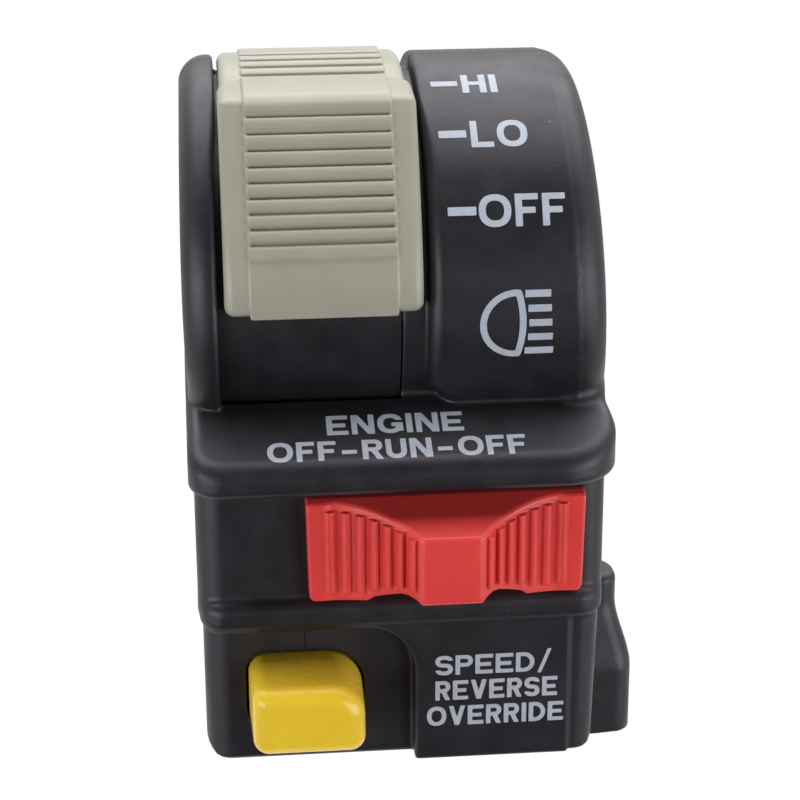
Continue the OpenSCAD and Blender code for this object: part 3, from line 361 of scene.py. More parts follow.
# Far half: end of the channel, lower block, rooms, and the screws' posts, holes and heads
CHANNEL_END, DEGREE, BEYOND, END_EDGE = 132.0, 0.41, 200.0, 0.8
BLOCK_BACK, BLOCK_TOP, BLOCK_CORNER, BLOCK_EDGE, BLOCK_FOOT = 15.0, -15.0, 5.0, 1.2, 2.5
BACK_IN, BACK_ROOF, BACK_ROOM_R, BACK_ROOM_X = 12.6, -14.35, 19.1, 19.5
BACK_POST_R, CLAMP_HOLE_R, HEAD_R, HEAD_D, HEAD_EDGE = 5.6, 2.7, 4.5, -7.5, 0.35
POST_BELOW = 0.02


def front_half(x, y, z):
    """The half on the far side of the bar."""
    d, radius, angle = about_bar(y, z)
    f, cut = drum(x, z, radius)
    cut = rmax(cut, np.where(angle < 0, BEYOND, angle - CHANNEL_END) * DEGREE, END_EDGE)
    f = rmax(f, -cut, channel_edge(x, z))
    ax = np.abs(x - BODY_X)
    foot = rmax(ax - LOWER_W, Z_BOTTOM - z, BLOCK_FOOT)
    block = rmax(rmax(ax - LOWER_W, y - BLOCK_BACK, BLOCK_CORNER), Z_BOTTOM - z, BLOCK_EDGE)
    f = rmin(f, most(block, foot, z - BLOCK_TOP), BLOCK_EDGE)
    skin = f
    tube = SADDLE_R - radius
    hollow = least(
        most(tube, radius - BACK_ROOM_R, TRACK_1 - x, x - BACK_ROOM_X),
        most(slab(-LOW_IN, LOW_IN, -BACK_IN, 1, Z_BOTTOM + WALL, BACK_ROOF, x, d, z), tube))
    posts = rods(SCREWS, BACK_POST_R, -FAR, 1, x, d, z)
    f = least(most(f, -hollow), most(posts, skin + POST_BELOW))
    f = most(f, BAR_R - radius, -rods(SCREWS, CLAMP_HOLE_R, -FAR, 2, x, d, z))
    for px, pz in SCREWS:
        f = rmax(f, -rod_y(px, pz, HEAD_R, -FAR, HEAD_D, x, d, z), HEAD_EDGE)
    return rmax(f, d + PARTING, PARTING_EDGE)


# Height of the cap over its channel by the angle round the bar, below and above the ridge
CAP_FACE = [[-30, 2.8], [0.5, 2.7], [8, 2.95], [18, 2.8], [28, 2.85], [38, 3.4], [47, 4.5], [53, 5.5],
            [60, 6.5], [70, 8.2], [130, 18.0]]
CAP_BACK = [[-30, 26.0], [43, 8.3], [51, 6.3], [56, 5.1], [62, 3.88], [68, 2.95], [78, 2.45], [90, 2.15],
            [103, 1.9], [130, 1.7]]
# The cap is made flat, with its arcs taken at one radius, and then bent round the bar
CAP_ARC = 24.0
CAP_LOW, CAP_HIGH = math.radians(0.5) * CAP_ARC, math.radians(103.0) * CAP_ARC
CAP_L, CAP_L_STEP, CAP_L_STEP_A = -18.3, 0.25, (64.0, 65.4)
CAP_R, CAP_R_STEP, CAP_R_STEP_A = 2.8, 0.5, (65.0, 66.6)
LOW_CORNER, HIGH_CORNER, CAP_EDGE, RIDGE_EDGE = 1.1, 0.9, 1.05, 0.35
LOW_TRIM, HIGH_TRIM, CAP_SLOPE = 0.15, 0.3, 0.93
CAP_INSIDE, INSIDE_EDGE = 21.7, 0.15
# Band of ribs: place on the cap, edges, and grooves
BAND_X, BAND_RISE, BAND_EDGE, BAND_DEPTH = (-15.6, 0.1), 0.36, 0.16, 1.0
BAND_SIDE, BAND_FOOT, BAND_LOW, BAND_HIGH, BAND_FILLET = 0.05, 0.3, 0.05, 0.4, 0.1
FIRST_RIB, RIB_STEP, RIB_COUNT = 50.2, 3.86, 9
FIRST_RIB_TOP, RIB_STEP_TOP, RIB_COUNT_TOP = 69.6, 5.2, 5
CAP_GROOVES = [(FIRST_RIB - RIB_STEP * k, RIB_STEP) for k in range(RIB_COUNT)]
CAP_GROOVES += [(FIRST_RIB_TOP + RIB_STEP_TOP * k, RIB_STEP_TOP) for k in range(RIB_COUNT_TOP)]
RIB_CROWN, GROOVE_DEPTH, GROOVE_HALF, GROOVE_X = 0.32, 0.5, 0.75, (-15.3, -0.2)
LAST_RIB, LAST_STEP, LAST_HALF = FIRST_RIB - RIB_STEP * 9.05, 0.24, 0.35
# Room for the carrier's neck under the cap
NECK_R, NECK_X, NECK_A = 23.05, (-13.95, -4.45), (43.35, 58.65)


def cap_field(x, s, radius):
    """Headlamp slide cap, over the place along the bar, the arc round it and the radius."""
    a = np.degrees(s / CAP_ARC)
    over = radius - TRACK_R
    skin = rmax(over - spline(CAP_FACE, a), over - spline(CAP_BACK, a), RIDGE_EDGE) * CAP_SLOPE
    right = CAP_R - CAP_R_STEP * ease(*CAP_R_STEP_A, a)
    left = CAP_L + CAP_L_STEP * ease(*CAP_L_STEP_A, a)
    plan = rmax(rmax(left - x, x - right, SHARP), CAP_LOW + LOW_TRIM - s, LOW_CORNER)
    plan = rmax(plan, s - CAP_HIGH + HIGH_TRIM, HIGH_CORNER)
    # Convex ribs with grooves between them, and a plain step below the last one
    groove = np.zeros_like(a)
    for g, step in CAP_GROOVES:
        away = np.abs(a - g)
        crown = RIB_CROWN * np.clip(1.0 - away * 2.0 / step, 0.0, 1.0) ** 2.0
        groove = most(groove, crown + GROOVE_DEPTH * np.clip(1.0 - away / GROOVE_HALF, 0.0, 1.0))
    drop = groove + LAST_STEP * ease(LAST_RIB + LAST_HALF, LAST_RIB - LAST_HALF, a)
    # The frame, cut where a groove is deeper than the band is high, and the raised band of ribs on it
    in_band = (x > GROOVE_X[0]) & (x < GROOVE_X[1])
    f = rmax(plan, skin + np.where(in_band, most(drop - BAND_RISE, 0.0), 0.0), CAP_EDGE)
    band = rmax(BAND_X[0] - x, x - BAND_X[1], BAND_SIDE)
    band = rmax(band, CAP_LOW - BAND_LOW - s, BAND_FOOT)
    band = most(band, s - CAP_HIGH + BAND_HIGH)
    band = rmax(band, skin - BAND_RISE + drop, BAND_EDGE)
    band = most(band, -skin - BAND_DEPTH)
    f = rmin(f, band, BAND_FILLET)
    f = rmax(f, CAP_INSIDE - radius, INSIDE_EDGE)
    neck = most(radius - NECK_R, within(x, NECK_X), within(s, np.radians(NECK_A) * CAP_ARC))
    return most(f, -neck)


# Knob, over its own middle: block, ramps of the wings, taper, ends, edges and stem
BLOCK_W, BLOCK_D, FACE_EDGE, BLOCK_BASE, BLOCK_FILLET = 3.5, 31.4, 0.7, 27.0, 0.25
RAMP_END, RAMP_D, RAMP_RISE, RAMP_POWER = 13.45, 25.5, 5.5, 1.9
RAMP_W = RAMP_END - BLOCK_W
SCOOP, SCOOP_OUT, SCOOP_IN = 0.35, (0.2, -1.3), 1.4
TAPER_D, TAPER_L, TAPER_TOP, TAPER_LOW = 24.5, 6.9, 2.4, 2.0
TOP_SLOPE, LOW_SLOPE, NOTCH_SLOPE = 0.945, 0.96, 0.6
KNOB_BASE, KNOB_HALF, KNOB_LEAN = 23.6, 15.12, 0.25
KNOB_CORNER, KNOB_TOP_EDGE, KNOB_EDGE = 0.75, 0.3, 0.35
STEM_X, STEM_D, STEM_Z = 4.2, (17.3, 24.6), 2.4
# Ribs on the wings: middles, sizes and ends
RIBS = [BLOCK_W + RAMP_W * (0.928 - 0.1685 * i + 0.0047 * i * i) for i in range(7)]
RIB_RISE, RIB_HALF, RIB_NARROW = 0.58, 0.59, 0.025
RIB_FROM_LOW, RIB_FROM_TOP, RIB_TOP_EDGE, RIB_LOW_EDGE = 0.8, 0.85, 0.06, 0.45
RIB_SLOPE, RIB_ROOT, RIB_FILLET = 0.5, 0.6, 0.05
# Height of the notches beside the block, over the distance from the knob's middle
NOTCH = [[3.1, 1.6], [3.45, 2.0], [3.9, 2.22], [4.6, 2.35], [5.3, 2.3], [8.1, 1.1], [9.4, 0.0], [16.0, 0.0]]


def ramp_at(ax):
    """Front of a wing over the distance from the knob's middle, scooped where the ribs stand."""
    t = share(RAMP_END - ax, RAMP_W)
    scoop = ease(RAMP_END + SCOOP_OUT[0], RAMP_END + SCOOP_OUT[1], ax) * ease(BLOCK_W, BLOCK_W + SCOOP_IN, ax)
    return RAMP_D + RAMP_RISE * t ** RAMP_POWER - SCOOP * scoop


def notch_at(ax):
    return np.interp(ax, *np.array(NOTCH).T)


def knob_field(x, y, z):
    """Engine-stop knob, about its own middle along the bar."""
    d = -y
    ax = np.abs(x)
    # Slope of the ramp without its scoop
    run = np.clip((RAMP_END - ax) / RAMP_W, 1e-4, 1.0)
    slope = np.where((ax > BLOCK_W) & (ax < RAMP_END),
                     RAMP_RISE * RAMP_POWER / RAMP_W * run ** (RAMP_POWER - 1.0), 0.0)
    ramp_face = (d - ramp_at(ax)) / np.sqrt(1.0 + slope * slope)
    block = most(rmax(ax - BLOCK_W, d - BLOCK_D, FACE_EDGE), BLOCK_BASE - d)
    front = rmin(np.where(ax > BLOCK_W, ramp_face, d - RAMP_D - RAMP_RISE), block, BLOCK_FILLET)
    taper = share(d - TAPER_D, TAPER_L)
    top = (z - (KNOB_TOP - TAPER_TOP * taper)) * TOP_SLOPE
    low = ((KNOB_LOW + TAPER_LOW * taper) - z) * LOW_SLOPE
    low = most(low, (KNOB_LOW + notch_at(ax) - z) * NOTCH_SLOPE)
    half = KNOB_HALF + KNOB_LEAN * share(z - KNOB_LOW, KNOB_TOP - KNOB_LOW)
    f = rmax(rmax(ax - half, low, KNOB_CORNER), top, KNOB_TOP_EDGE)
    f = rmax(f, front, KNOB_EDGE)
    f = most(f, KNOB_BASE - d)
    for i, c in enumerate(RIBS):
        out = (float(ramp_at(np.array([c]))[0]) - TAPER_D) / TAPER_L
        z1 = KNOB_LOW + max(TAPER_LOW * out, float(notch_at(c))) + RIB_FROM_LOW
        z2 = KNOB_TOP - TAPER_TOP * out - RIB_FROM_TOP
        width = RIB_HALF - RIB_NARROW * i
        rib = (np.sqrt(((ax - c) / width) ** 2 + (ramp_face / RIB_RISE) ** 2) - 1.0) * RIB_SLOPE
        rib = rmax(rmax(rib, z - z2, RIB_TOP_EDGE), z1 - z, RIB_LOW_EDGE)
        f = rmin(f, most(rib, -RIB_ROOT - ramp_face), RIB_FILLET)
    stem = slab(-STEM_X, STEM_X, *STEM_D, STOP_Z - STEM_Z, STOP_Z + STEM_Z, x, d, z)
    return least(f, stem)


# Button: draft, front and edge, the flange that holds it in, and its plunger
BUTTON_D, BUTTON_BASE, BUTTON_EDGE = 30.9, 19.15, 1.8
DRAFT_START, DRAFT, DRAFT_D, DRAFT_L = 0.05, 0.25, 22.0, 8.9
FLANGE_IN, FLANGE_OUT, FLANGE_D = 0.3, 1.0, (17.35, 19.65)
PLUNGER_R, PLUNGER_D = 2.1, (11.5, 18.4)


def button_field(x, y, z):
    """Override button with its flange and plunger."""
    d = -y
    draft = DRAFT_START + DRAFT * share(d - DRAFT_D, DRAFT_L)
    body = rmax(button_plan(x, z, 0.0) + draft, d - BUTTON_D, BUTTON_EDGE)
    body = most(body, BUTTON_BASE - d)
    hw, hh = BUTTON_W / 2 - FLANGE_IN, BUTTON_H / 2 + FLANGE_OUT
    flange = slab(BUTTON_X - hw, BUTTON_X + hw, *FLANGE_D, BUTTON_Z - hh, BUTTON_Z + hh, x, d, z)
    plunger = rod_y(BUTTON_X, BUTTON_Z, PLUNGER_R, *PLUNGER_D, x, d, z)
    return least(body, flange, plunger)


# Fields to meshes
# Probe for slopes, least slope, longest move in cells, layers sampled at once, least field value
PROBE, LEAST_SLOPE, LONGEST_MOVE, TINY = 0.03, 0.15, 0.45, 1e-9
LAYERS, NOT_ZERO = 24, 1e-6


def slope_of(field, p, e):
    """Slope of a field at points, from a step e both ways along each axis."""
    g = np.empty_like(p)
    for k in range(3):
        q = p.copy()
        q[:, k] += e
        up = field(*q.T)
        q[:, k] -= 2 * e
        g[:, k] = (up - field(*q.T)) / (2 * e)
    return g


def relax(field, p, h, rounds):
    """Moves points along the field's slope onto its surface."""
    for _ in range(rounds):
        g = slope_of(field, p, PROBE)
        step = -field(*p.T) / np.maximum((g * g).sum(1), LEAST_SLOPE)
        move = g * step[:, None]
        length = np.sqrt((move * move).sum(1))
        move *= np.minimum(1.0, LONGEST_MOVE * h / np.maximum(length, TINY))[:, None]
        p = p + move
    return p


def surface(field, lo, hi, h, rounds=3):
    """Closed quad mesh of the zero level of a field."""
    lo = np.array(lo, float)
    count = [int(math.ceil((hi[k] - lo[k]) / h)) + 1 for k in range(3)]
    axes = [lo[k] + h * np.arange(count[k]) for k in range(3)]
    gx, gy, gz = np.meshgrid(*axes, indexing="ij", sparse=True)
    parts = []
    for i in range(0, count[0], LAYERS):
        layers = gx[i:i + LAYERS]
        shape = (layers.shape[0], count[1], count[2])
        parts.append(np.broadcast_to(field(layers, gy, gz), shape).astype(np.float32))
    f = np.concatenate(parts, 0)
    f[np.abs(f) < NOT_ZERO] = NOT_ZERO
    s = f < 0
    n = [c - 1 for c in count]
    total = np.zeros(n, np.int8)
    for a, b, c in np.ndindex(2, 2, 2):
        total += s[a:a + n[0], b:b + n[1], c:c + n[2]]
    cells = np.argwhere((total > 0) & (total < 8))
    ident = np.full(n, -1, np.int32)
    ident[tuple(cells.T)] = np.arange(len(cells))
    add = np.zeros((len(cells), 3))
    hits = np.zeros(len(cells))
    for axis in range(3):
        others = [k for k in range(3) if k != axis]
        for u, v in np.ndindex(2, 2):
            a = np.zeros(3, int)
            a[others[0]], a[others[1]] = u, v
            b = a.copy()
            b[axis] = 1
            fa = f[tuple((cells + a).T)]
            fb = f[tuple((cells + b).T)]
            cross = (fa < 0) != (fb < 0)
            t = np.where(cross, fa / np.where(cross, fa - fb, 1.0), 0.0)
            for k in range(3):
                add[:, k] += np.where(cross, a[k] + (t if k == axis else 0.0), 0.0)
            hits += cross
    p = lo + h * (cells + add / hits[:, None])
    faces = []
    for axis in range(3):
        u, v = (axis + 1) % 3, (axis + 2) % 3
        edges = np.argwhere(np.diff(s, axis=axis))
        edges = edges[(edges[:, u] > 0) & (edges[:, v] > 0) & (edges[:, u] < n[u]) & (edges[:, v] < n[v])]
        ring = []
        for du, dv in ((-1, -1), (0, -1), (0, 0), (-1, 0)):
            c = edges.copy()
            c[:, u] += du
            c[:, v] += dv
            ring.append(ident[tuple(c.T)])
        quad = np.stack(ring, 1)
        out = s[tuple(edges.T)]
        quad[~out] = quad[~out][:, ::-1]
        faces.append(quad)
    return relax(field, p, h, rounds), np.concatenate(faces, 0)


def add_object(name, data):
    ob = bpy.data.objects.new(name, data)
    scene.collection.objects.link(ob)
    return ob


def mesh_object(name, points, faces):
    """Mesh object from points in millimetres and quads or triangles."""
    me = bpy.data.meshes.new(name)
    faces = np.asarray(faces, np.int32)
    k = faces.shape[1]
    me.vertices.add(len(points))
    me.vertices.foreach_set("co", (np.asarray(points, float) * MM).astype(np.float32).ravel())
    me.loops.add(len(faces) * k)
    me.loops.foreach_set("vertex_index", faces.ravel())
    me.polygons.add(len(faces))
    me.polygons.foreach_set("loop_start", np.arange(0, len(faces) * k, k, dtype=np.int32))
    me.polygons.foreach_set("use_smooth", np.ones(len(faces), bool))
    me.update(calc_edges=True)
    me.validate()
    return add_object(name, me)


def piece(name, points, faces, body, slot, finish, *replaced):
    """Mesh object with its finish, on a body and in place of the named nodes; the slot is not used."""
    ob = mesh_object(name, points, faces)
    ob.data.materials.append(finish)
    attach(ob, body)
    if replaced:
        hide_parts(*replaced)
    return ob


# Materials
# Noise and wave scales are per metre, bump distances are in metres.
def material(name):
    """New material with its node tree and its surface node."""
    m = bpy.data.materials.new(name)
    m.use_nodes = True
    t = m.node_tree
    t.nodes.clear()
    out = t.nodes.new("ShaderNodeOutputMaterial")
    b = t.nodes.new("ShaderNodeBsdfPrincipled")
    t.links.new(b.outputs["BSDF"], out.inputs["Surface"])
    return m, t, b


def place(t):
    return t.nodes.new("ShaderNodeTexCoord").outputs["Object"]


def put(n, values):
    """Sets inputs of a node."""
    for name, value in values.items():
        n.inputs[name].default_value = value


def texture(t, kind, **values):
    """Outputs of a texture node over the object's own coordinates."""
    n = t.nodes.new("ShaderNodeTex" + kind)
    put(n, values)
    t.links.new(place(t), n.inputs["Vector"])
    return n.outputs


def noise(t, scale, detail=2.0, rough=0.5):
    return texture(t, "Noise", Scale=scale, Detail=detail, Roughness=rough)["Fac"]


def rgba(v):
    """Colour with its cover; a plain number is a grey."""
    return (*v, 1.0) if isinstance(v, tuple) else (v, v, v, 1.0)


def ramp(t, fac, stops):
    r = t.nodes.new("ShaderNodeValToRGB")
    el = r.color_ramp.elements
    while len(el) < len(stops):
        el.new(0.5)
    for e, (pos, col) in zip(el, stops):
        e.position = pos
        e.color = rgba(col)
    t.links.new(fac, r.inputs["Fac"])
    return r.outputs["Color"]


def tint(t, b, socket, fac, low, high, ends=(0.3, 0.7)):
    """Runs an input of the surface from low to high as a mask goes from one end to the other."""
    t.links.new(ramp(t, fac, [(ends[0], low), (ends[1], high)]), b.inputs[socket])


def wave(t, scale, distortion):
    return texture(t, "Wave", Scale=scale, Distortion=distortion)["Fac"]


def bump(t, b, height, strength, distance):
    n = t.nodes.new("ShaderNodeBump")
    put(n, {"Strength": strength, "Distance": distance})
    t.links.new(height, n.inputs["Height"])
    t.links.new(n.outputs["Normal"], b.inputs["Normal"])


def math_node(t, op, a, b=None):
    n = t.nodes.new("ShaderNodeMath")
    n.operation = op
    for k, v in enumerate((a, b)):
        if v is None:
            continue
        if isinstance(v, (int, float)):
            n.inputs[k].default_value = v
        else:
            t.links.new(v, n.inputs[k])
    return n.outputs[0]


def mix(t, fac, a, b):
    n = t.nodes.new("ShaderNodeMix")
    n.data_type = "RGBA"
    t.links.new(fac, n.inputs["Factor"])
    for socket, v in ((n.inputs[6], a), (n.inputs[7], b)):
        if isinstance(v, (float, tuple)):
            socket.default_value = rgba(v)
        else:
            t.links.new(v, socket)
    return n.outputs[2]


# Weld line over the button, with the shade of its thin groove painted near black, and the colour of dust
WELD_HALF, WELD_FROM, WELD_TO, WELD_D = 0.11, BUTTON_Z + 4.2, -36.2, 21.0
DUST, WELD_GROOVE_SHADE = (0.22, 0.21, 0.21), 0.0008


def weld_line_shade(t):
    """Mask of a hairline where the plastic met in the mould, upright on the rider's side, used to paint the
    shade of its groove, which the shape lacks.
    """
    sep = t.nodes.new("ShaderNodeSeparateXYZ")
    t.links.new(place(t), sep.inputs[0])
    away = math_node(t, "ABSOLUTE", math_node(t, "SUBTRACT", sep.outputs["X"], BUTTON_X * MM))
    near = math_node(t, "LESS_THAN", away, WELD_HALF * MM)
    above = math_node(t, "GREATER_THAN", sep.outputs["Z"], WELD_FROM * MM)
    below = math_node(t, "LESS_THAN", sep.outputs["Z"], WELD_TO * MM)
    outside = math_node(t, "LESS_THAN", sep.outputs["Y"], -WELD_D * MM)
    return math_node(t, "MULTIPLY", math_node(t, "MULTIPLY", near, above),
                     math_node(t, "MULTIPLY", below, outside))


def moulded_black(name, base, lift, rough, marked=False):
    """Satin black plastic with a fine spark-eroded grain and a little dust."""
    m, t, b = material(name)
    tone = ramp(t, noise(t, 90.0, 3.0), [(0.3, base), (0.7, lift)])
    specks = texture(t, "Voronoi", Scale=330.0)
    dot = ramp(t, specks["Distance"], [(0.0, 1.0), (0.055, 0.0)])
    few = ramp(t, noise(t, 420.0, 0.0), [(0.66, 0.0), (0.7, 1.0)])
    colour = mix(t, math_node(t, "MULTIPLY", dot, few), tone, DUST)
    sheen = ramp(t, noise(t, 300.0, 2.0), [(0.3, rough - 0.05), (0.7, rough + 0.07)])
    # The weld line's groove is not in the shape: painted shade makes the line near black, and the roughness
    # is full there.
    if marked:
        line = weld_line_shade(t)
        colour = mix(t, line, colour, WELD_GROOVE_SHADE)
        sheen = mix(t, line, sheen, 1.0)
    t.links.new(colour, b.inputs["Base Color"])
    t.links.new(sheen, b.inputs["Roughness"])
    bump(t, b, noise(t, 2600.0, 3.0), 0.35, 0.00006)
    put(b, {"Specular IOR Level": 0.6, "Specular Tint": (0.96, 0.91, 1.0, 1.0)})
    return m


def moulded_colour(name, low, high, rough, grain_strength, subsurface=0.0):
    """Coloured plastic: faint flow marks in the colour, a fine skin on the surface."""
    m, t, b = material(name)
    tint(t, b, "Base Color", noise(t, 130.0, 4.0, 0.6), low, high)
    tint(t, b, "Roughness", noise(t, 700.0, 2.0), rough - 0.04, rough + 0.06)
    bump(t, b, noise(t, 1500.0, 3.0), grain_strength, 0.00005)
    if subsurface:
        put(b, {"Subsurface Weight": subsurface, "Subsurface Radius": (0.0012, 0.0008, 0.0005),
                "Subsurface Scale": 1.0})
    return m


def metal(name, low, high, rough, scale):
    """Turned or drawn metal with fine lines and slight tarnish."""
    m, t, b = material(name)
    lines = wave(t, scale, 3.0)
    tint(t, b, "Base Color", noise(t, 500.0, 3.0), low, high)
    tint(t, b, "Roughness", lines, rough - 0.06, rough + 0.1, (0.2, 0.8))
    b.inputs["Metallic"].default_value = 1.0
    bump(t, b, lines, 0.12, 0.00003)
    return m


def board_material(name):
    """Brown paper laminate with faint fibres."""
    m, t, b = material(name)
    both = math_node(t, "MULTIPLY", wave(t, 600.0, 6.0), noise(t, 900.0, 4.0))
    tint(t, b, "Base Color", both, (0.20, 0.105, 0.04), (0.30, 0.17, 0.075), (0.1, 0.6))
    tint(t, b, "Roughness", noise(t, 400.0), 0.4, 0.55)
    bump(t, b, both, 0.2, 0.00004)
    return m


def rubber_material(name):
    """Dull black rubber."""
    m, t, b = material(name)
    tint(t, b, "Base Color", noise(t, 250.0, 4.0), 0.018, 0.032)
    tint(t, b, "Roughness", noise(t, 800.0, 2.0), 0.62, 0.8)
    bump(t, b, noise(t, 1400.0, 4.0), 0.3, 0.00008)
    return m


def print_material(name, colour):
    """Pad-printed ink: slightly uneven cover over the plastic's grain."""
    m, t, b = material(name)
    thin = tuple(0.86 * c for c in colour)
    tint(t, b, "Base Color", noise(t, 900.0, 4.0, 0.7), thin, colour, (0.25, 0.6))
    tint(t, b, "Roughness", noise(t, 1200.0, 2.0), 0.42, 0.58)
    bump(t, b, noise(t, 2600.0, 3.0), 0.25, 0.00005)
    return m


housing_mat = moulded_black("housing_plastic", (0.0068, 0.006, 0.0082), (0.0098, 0.0086, 0.0116), 0.45, True)
track_mat = moulded_black("track_plastic", (0.0064, 0.0056, 0.0076), (0.0092, 0.0082, 0.0108), 0.42)
inner_mat = moulded_colour("inner_plastic", (0.03, 0.03, 0.033), (0.042, 0.042, 0.046), 0.42, 0.2)
cap_mat = moulded_colour("cap_plastic", (0.362, 0.356, 0.288), (0.392, 0.386, 0.314), 0.32, 0.12, 0.12)
knob_mat = moulded_colour("knob_plastic", (0.76, 0.052, 0.049), (0.82, 0.06, 0.056), 0.36, 0.16, 0.1)
button_mat = moulded_colour("button_plastic", (0.86, 0.58, 0.03), (0.91, 0.63, 0.038), 0.27, 0.08, 0.12)
brass_mat = metal("brass", (0.56, 0.36, 0.12), (0.66, 0.45, 0.17), 0.28, 400.0)
steel_mat = metal("steel", (0.48, 0.48, 0.47), (0.6, 0.6, 0.6), 0.26, 500.0)
board_mat = board_material("board")
rubber_mat = rubber_material("rubber")
ink_mat = print_material("legend_ink", (0.475, 0.512, 0.6))

# Moulded pieces: each field is sampled in its own box, with cells of its own size in millimetres
REAR_CELL, FRONT_CELL, CAP_CELL, KNOB_CELL, BUTTON_CELL = 0.3, 0.36, 0.12, 0.14, 0.17
p, q = surface(rear_half, (-23.9, -29.6, -57.8), (30.2, 0.3, 24.0), REAR_CELL)
piece("housing_rear_shell", p, q, "housing", "housing_plastic", housing_mat, "rear_housing")
p, q = surface(front_half, (-23.4, -0.3, -53.7), (24.2, 24.2, 24.2), FRONT_CELL)
piece("housing_front_shell", p, q, "housing", "housing_plastic", housing_mat, "front_housing")

p, q = surface(cap_field, (-18.6, -0.6, 21.4), (3.1, 44.2, 28.0), CAP_CELL)
t = p[:, 1] / CAP_ARC
p = np.stack([p[:, 0], -p[:, 2] * np.cos(t), p[:, 2] * np.sin(t)], 1)
piece("headlamp_slide_cap", p, q[:, ::-1], "lamp_slide", "cap_plastic", cap_mat, "light_cap")

p, q = surface(knob_field, (-15.9, -31.9, -32.8), (15.9, -16.9, -19.7), KNOB_CELL)
p[:, 0] += STOP_X
piece("engine_stop_knob", p, q, "stop_slide", "knob_plastic", knob_mat, "stop_knob")

p, q = surface(button_field, (-17.6, -31.4, -50.4), (-3.4, -11.1, -38.3), BUTTON_CELL)
piece("override_push_button", p, q, "override", "button_plastic", button_mat, "override_button")

# Return spring under the button: one end stands on the base's collar, the other reaches the button
COIL_R, WIRE_R, COIL_D1, COIL_D2, COIL_TURNS = 3.5, 0.23, 12.0, 17.3, 3
WIRE_SIDES, TURN_STEPS = 10, 36


def coiled_wire():
    """Points and triangles of one wire coiled along the depth, closed at both ends."""
    last = COIL_TURNS * TURN_STEPS
    i, k = np.meshgrid(np.arange(last + 1), np.arange(WIRE_SIDES), indexing="ij")
    turn, side = 2.0 * np.pi * i / TURN_STEPS, 2.0 * np.pi * k / WIRE_SIDES
    away = COIL_R + WIRE_R * np.cos(side)
    rise = COIL_D2 - COIL_D1 - 2.0 * WIRE_R
    d = COIL_D1 + WIRE_R + rise * i / last + WIRE_R * np.sin(side)
    points = np.stack([BUTTON_X + away * np.cos(turn), -d, BUTTON_Z + away * np.sin(turn)], -1)
    at = i * WIRE_SIDES + k
    ahead = np.roll(at, -1, axis=1)
    a, b, c, e = at[:-1].ravel(), ahead[:-1].ravel(), ahead[1:].ravel(), at[1:].ravel()
    fan = np.arange(1, WIRE_SIDES - 1)
    start = np.stack([0 * fan, fan, fan + 1], 1)
    end = np.stack([0 * fan, fan + 1, fan], 1) + last * WIRE_SIDES
    faces = np.concatenate([np.stack([a, e, b], 1), np.stack([b, e, c], 1), start, end])
    return points.reshape(-1, 3), faces


spring = mesh_object("override_return_spring", *coiled_wire())
spring.data.materials.append(steel_mat)
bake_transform(spring)
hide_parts("override_spring")


# Letters of the printed legends
# Each letter is a flat field over its own width w and height h, drawn with strokes of thickness t.
# The bare numbers in the letters are shares of those.
def bar(u, v, x1, x2, y1, y2):
    return most(x1 - u, u - x2, y1 - v, v - y2)


def bars(u, v, *boxes):
    return least(*[bar(u, v, *box) for box in boxes])


def slant(u, v, x1, y1, x2, y2, t):
    """Sloping stroke between two levels, cut level at both ends."""
    run = (x2 - x1) / (y2 - y1)
    side = np.abs(u - x1 - run * (v - y1)) / math.hypot(1.0, run) - t / 2
    return most(side, y1 - v, v - y2)


def oval(u, v, cx, cy, a, b, t):
    """Closed oval stroke inside the half sizes a and b."""
    def round_form(a, b):
        return ((np.abs((u - cx) / a) ** 2.3 + np.abs((v - cy) / b) ** 2.3) ** (1 / 2.3) - 1.0) * min(a, b)
    return most(round_form(a, b), -round_form(a - t, b - 0.92 * t))


def bowl(u, v, w, y1, y2, t):
    """Closed stroke with a straight left side and a round right side."""
    def form(x1, x2, y1, y2):
        r = 0.49 * (y2 - y1)
        return most(x1 - u, rmax(rmax(u - x2, v - y2, r), y1 - v, r))
    return most(form(0.0, w, y1, y2), -form(t, w - t, y1 + 0.9 * t, y2 - 0.9 * t))


def letter_h(u, v, w, h, t):
    return bars(u, v, (0, t, 0, h), (w - t, w, 0, h), (0, w, 0.5 * h - 0.45 * t, 0.5 * h + 0.45 * t))


def letter_i(u, v, w, h, t):
    return bar(u, v, 0, w, 0, h)


def letter_l(u, v, w, h, t):
    return bars(u, v, (0, t, 0, h), (0, w, 0, 0.9 * t))


def letter_f(u, v, w, h, t):
    return bars(u, v, (0, t, 0, h), (0, w, h - 0.9 * t, h),
                (0, 0.88 * w, 0.5 * h - 0.5 * t, 0.5 * h + 0.4 * t))


def letter_e(u, v, w, h, t):
    return least(letter_f(u, v, w, h, t), bar(u, v, 0, w, 0, 0.9 * t))


def letter_o(u, v, w, h, t):
    return oval(u, v, w / 2, h / 2, w / 2, h / 2, t)


def letter_n(u, v, w, h, t):
    return least(bars(u, v, (0, t, 0, h), (w - t, w, 0, h)),
                 slant(u, v, w - 0.62 * t, 0, 0.62 * t, h, t))


def letter_u(u, v, w, h, t):
    turn = 0.4 * h
    foot = most(oval(u, v, w / 2, turn, w / 2, turn, t), v - turn)
    return least(foot, bars(u, v, (0, t, turn, h), (w - t, w, turn, h)))


def letter_v(u, v, w, h, t):
    both = least(slant(u, v, w / 2, 0, 0.52 * t, h, t), slant(u, v, w / 2, 0, w - 0.52 * t, h, t))
    return most(both, -u, u - w)


def letter_d(u, v, w, h, t):
    return bowl(u, v, w, 0, h, t)


def letter_p(u, v, w, h, t):
    return least(bowl(u, v, w, 0.4 * h, h, t), bar(u, v, 0, t, 0, h))


def letter_r(u, v, w, h, t):
    leg = slant(u, v, w - 0.55 * t, 0, 0.5 * w, 0.42 * h + 0.5 * t, t)
    return least(letter_p(u, v, w, h, t), most(leg, u - w))


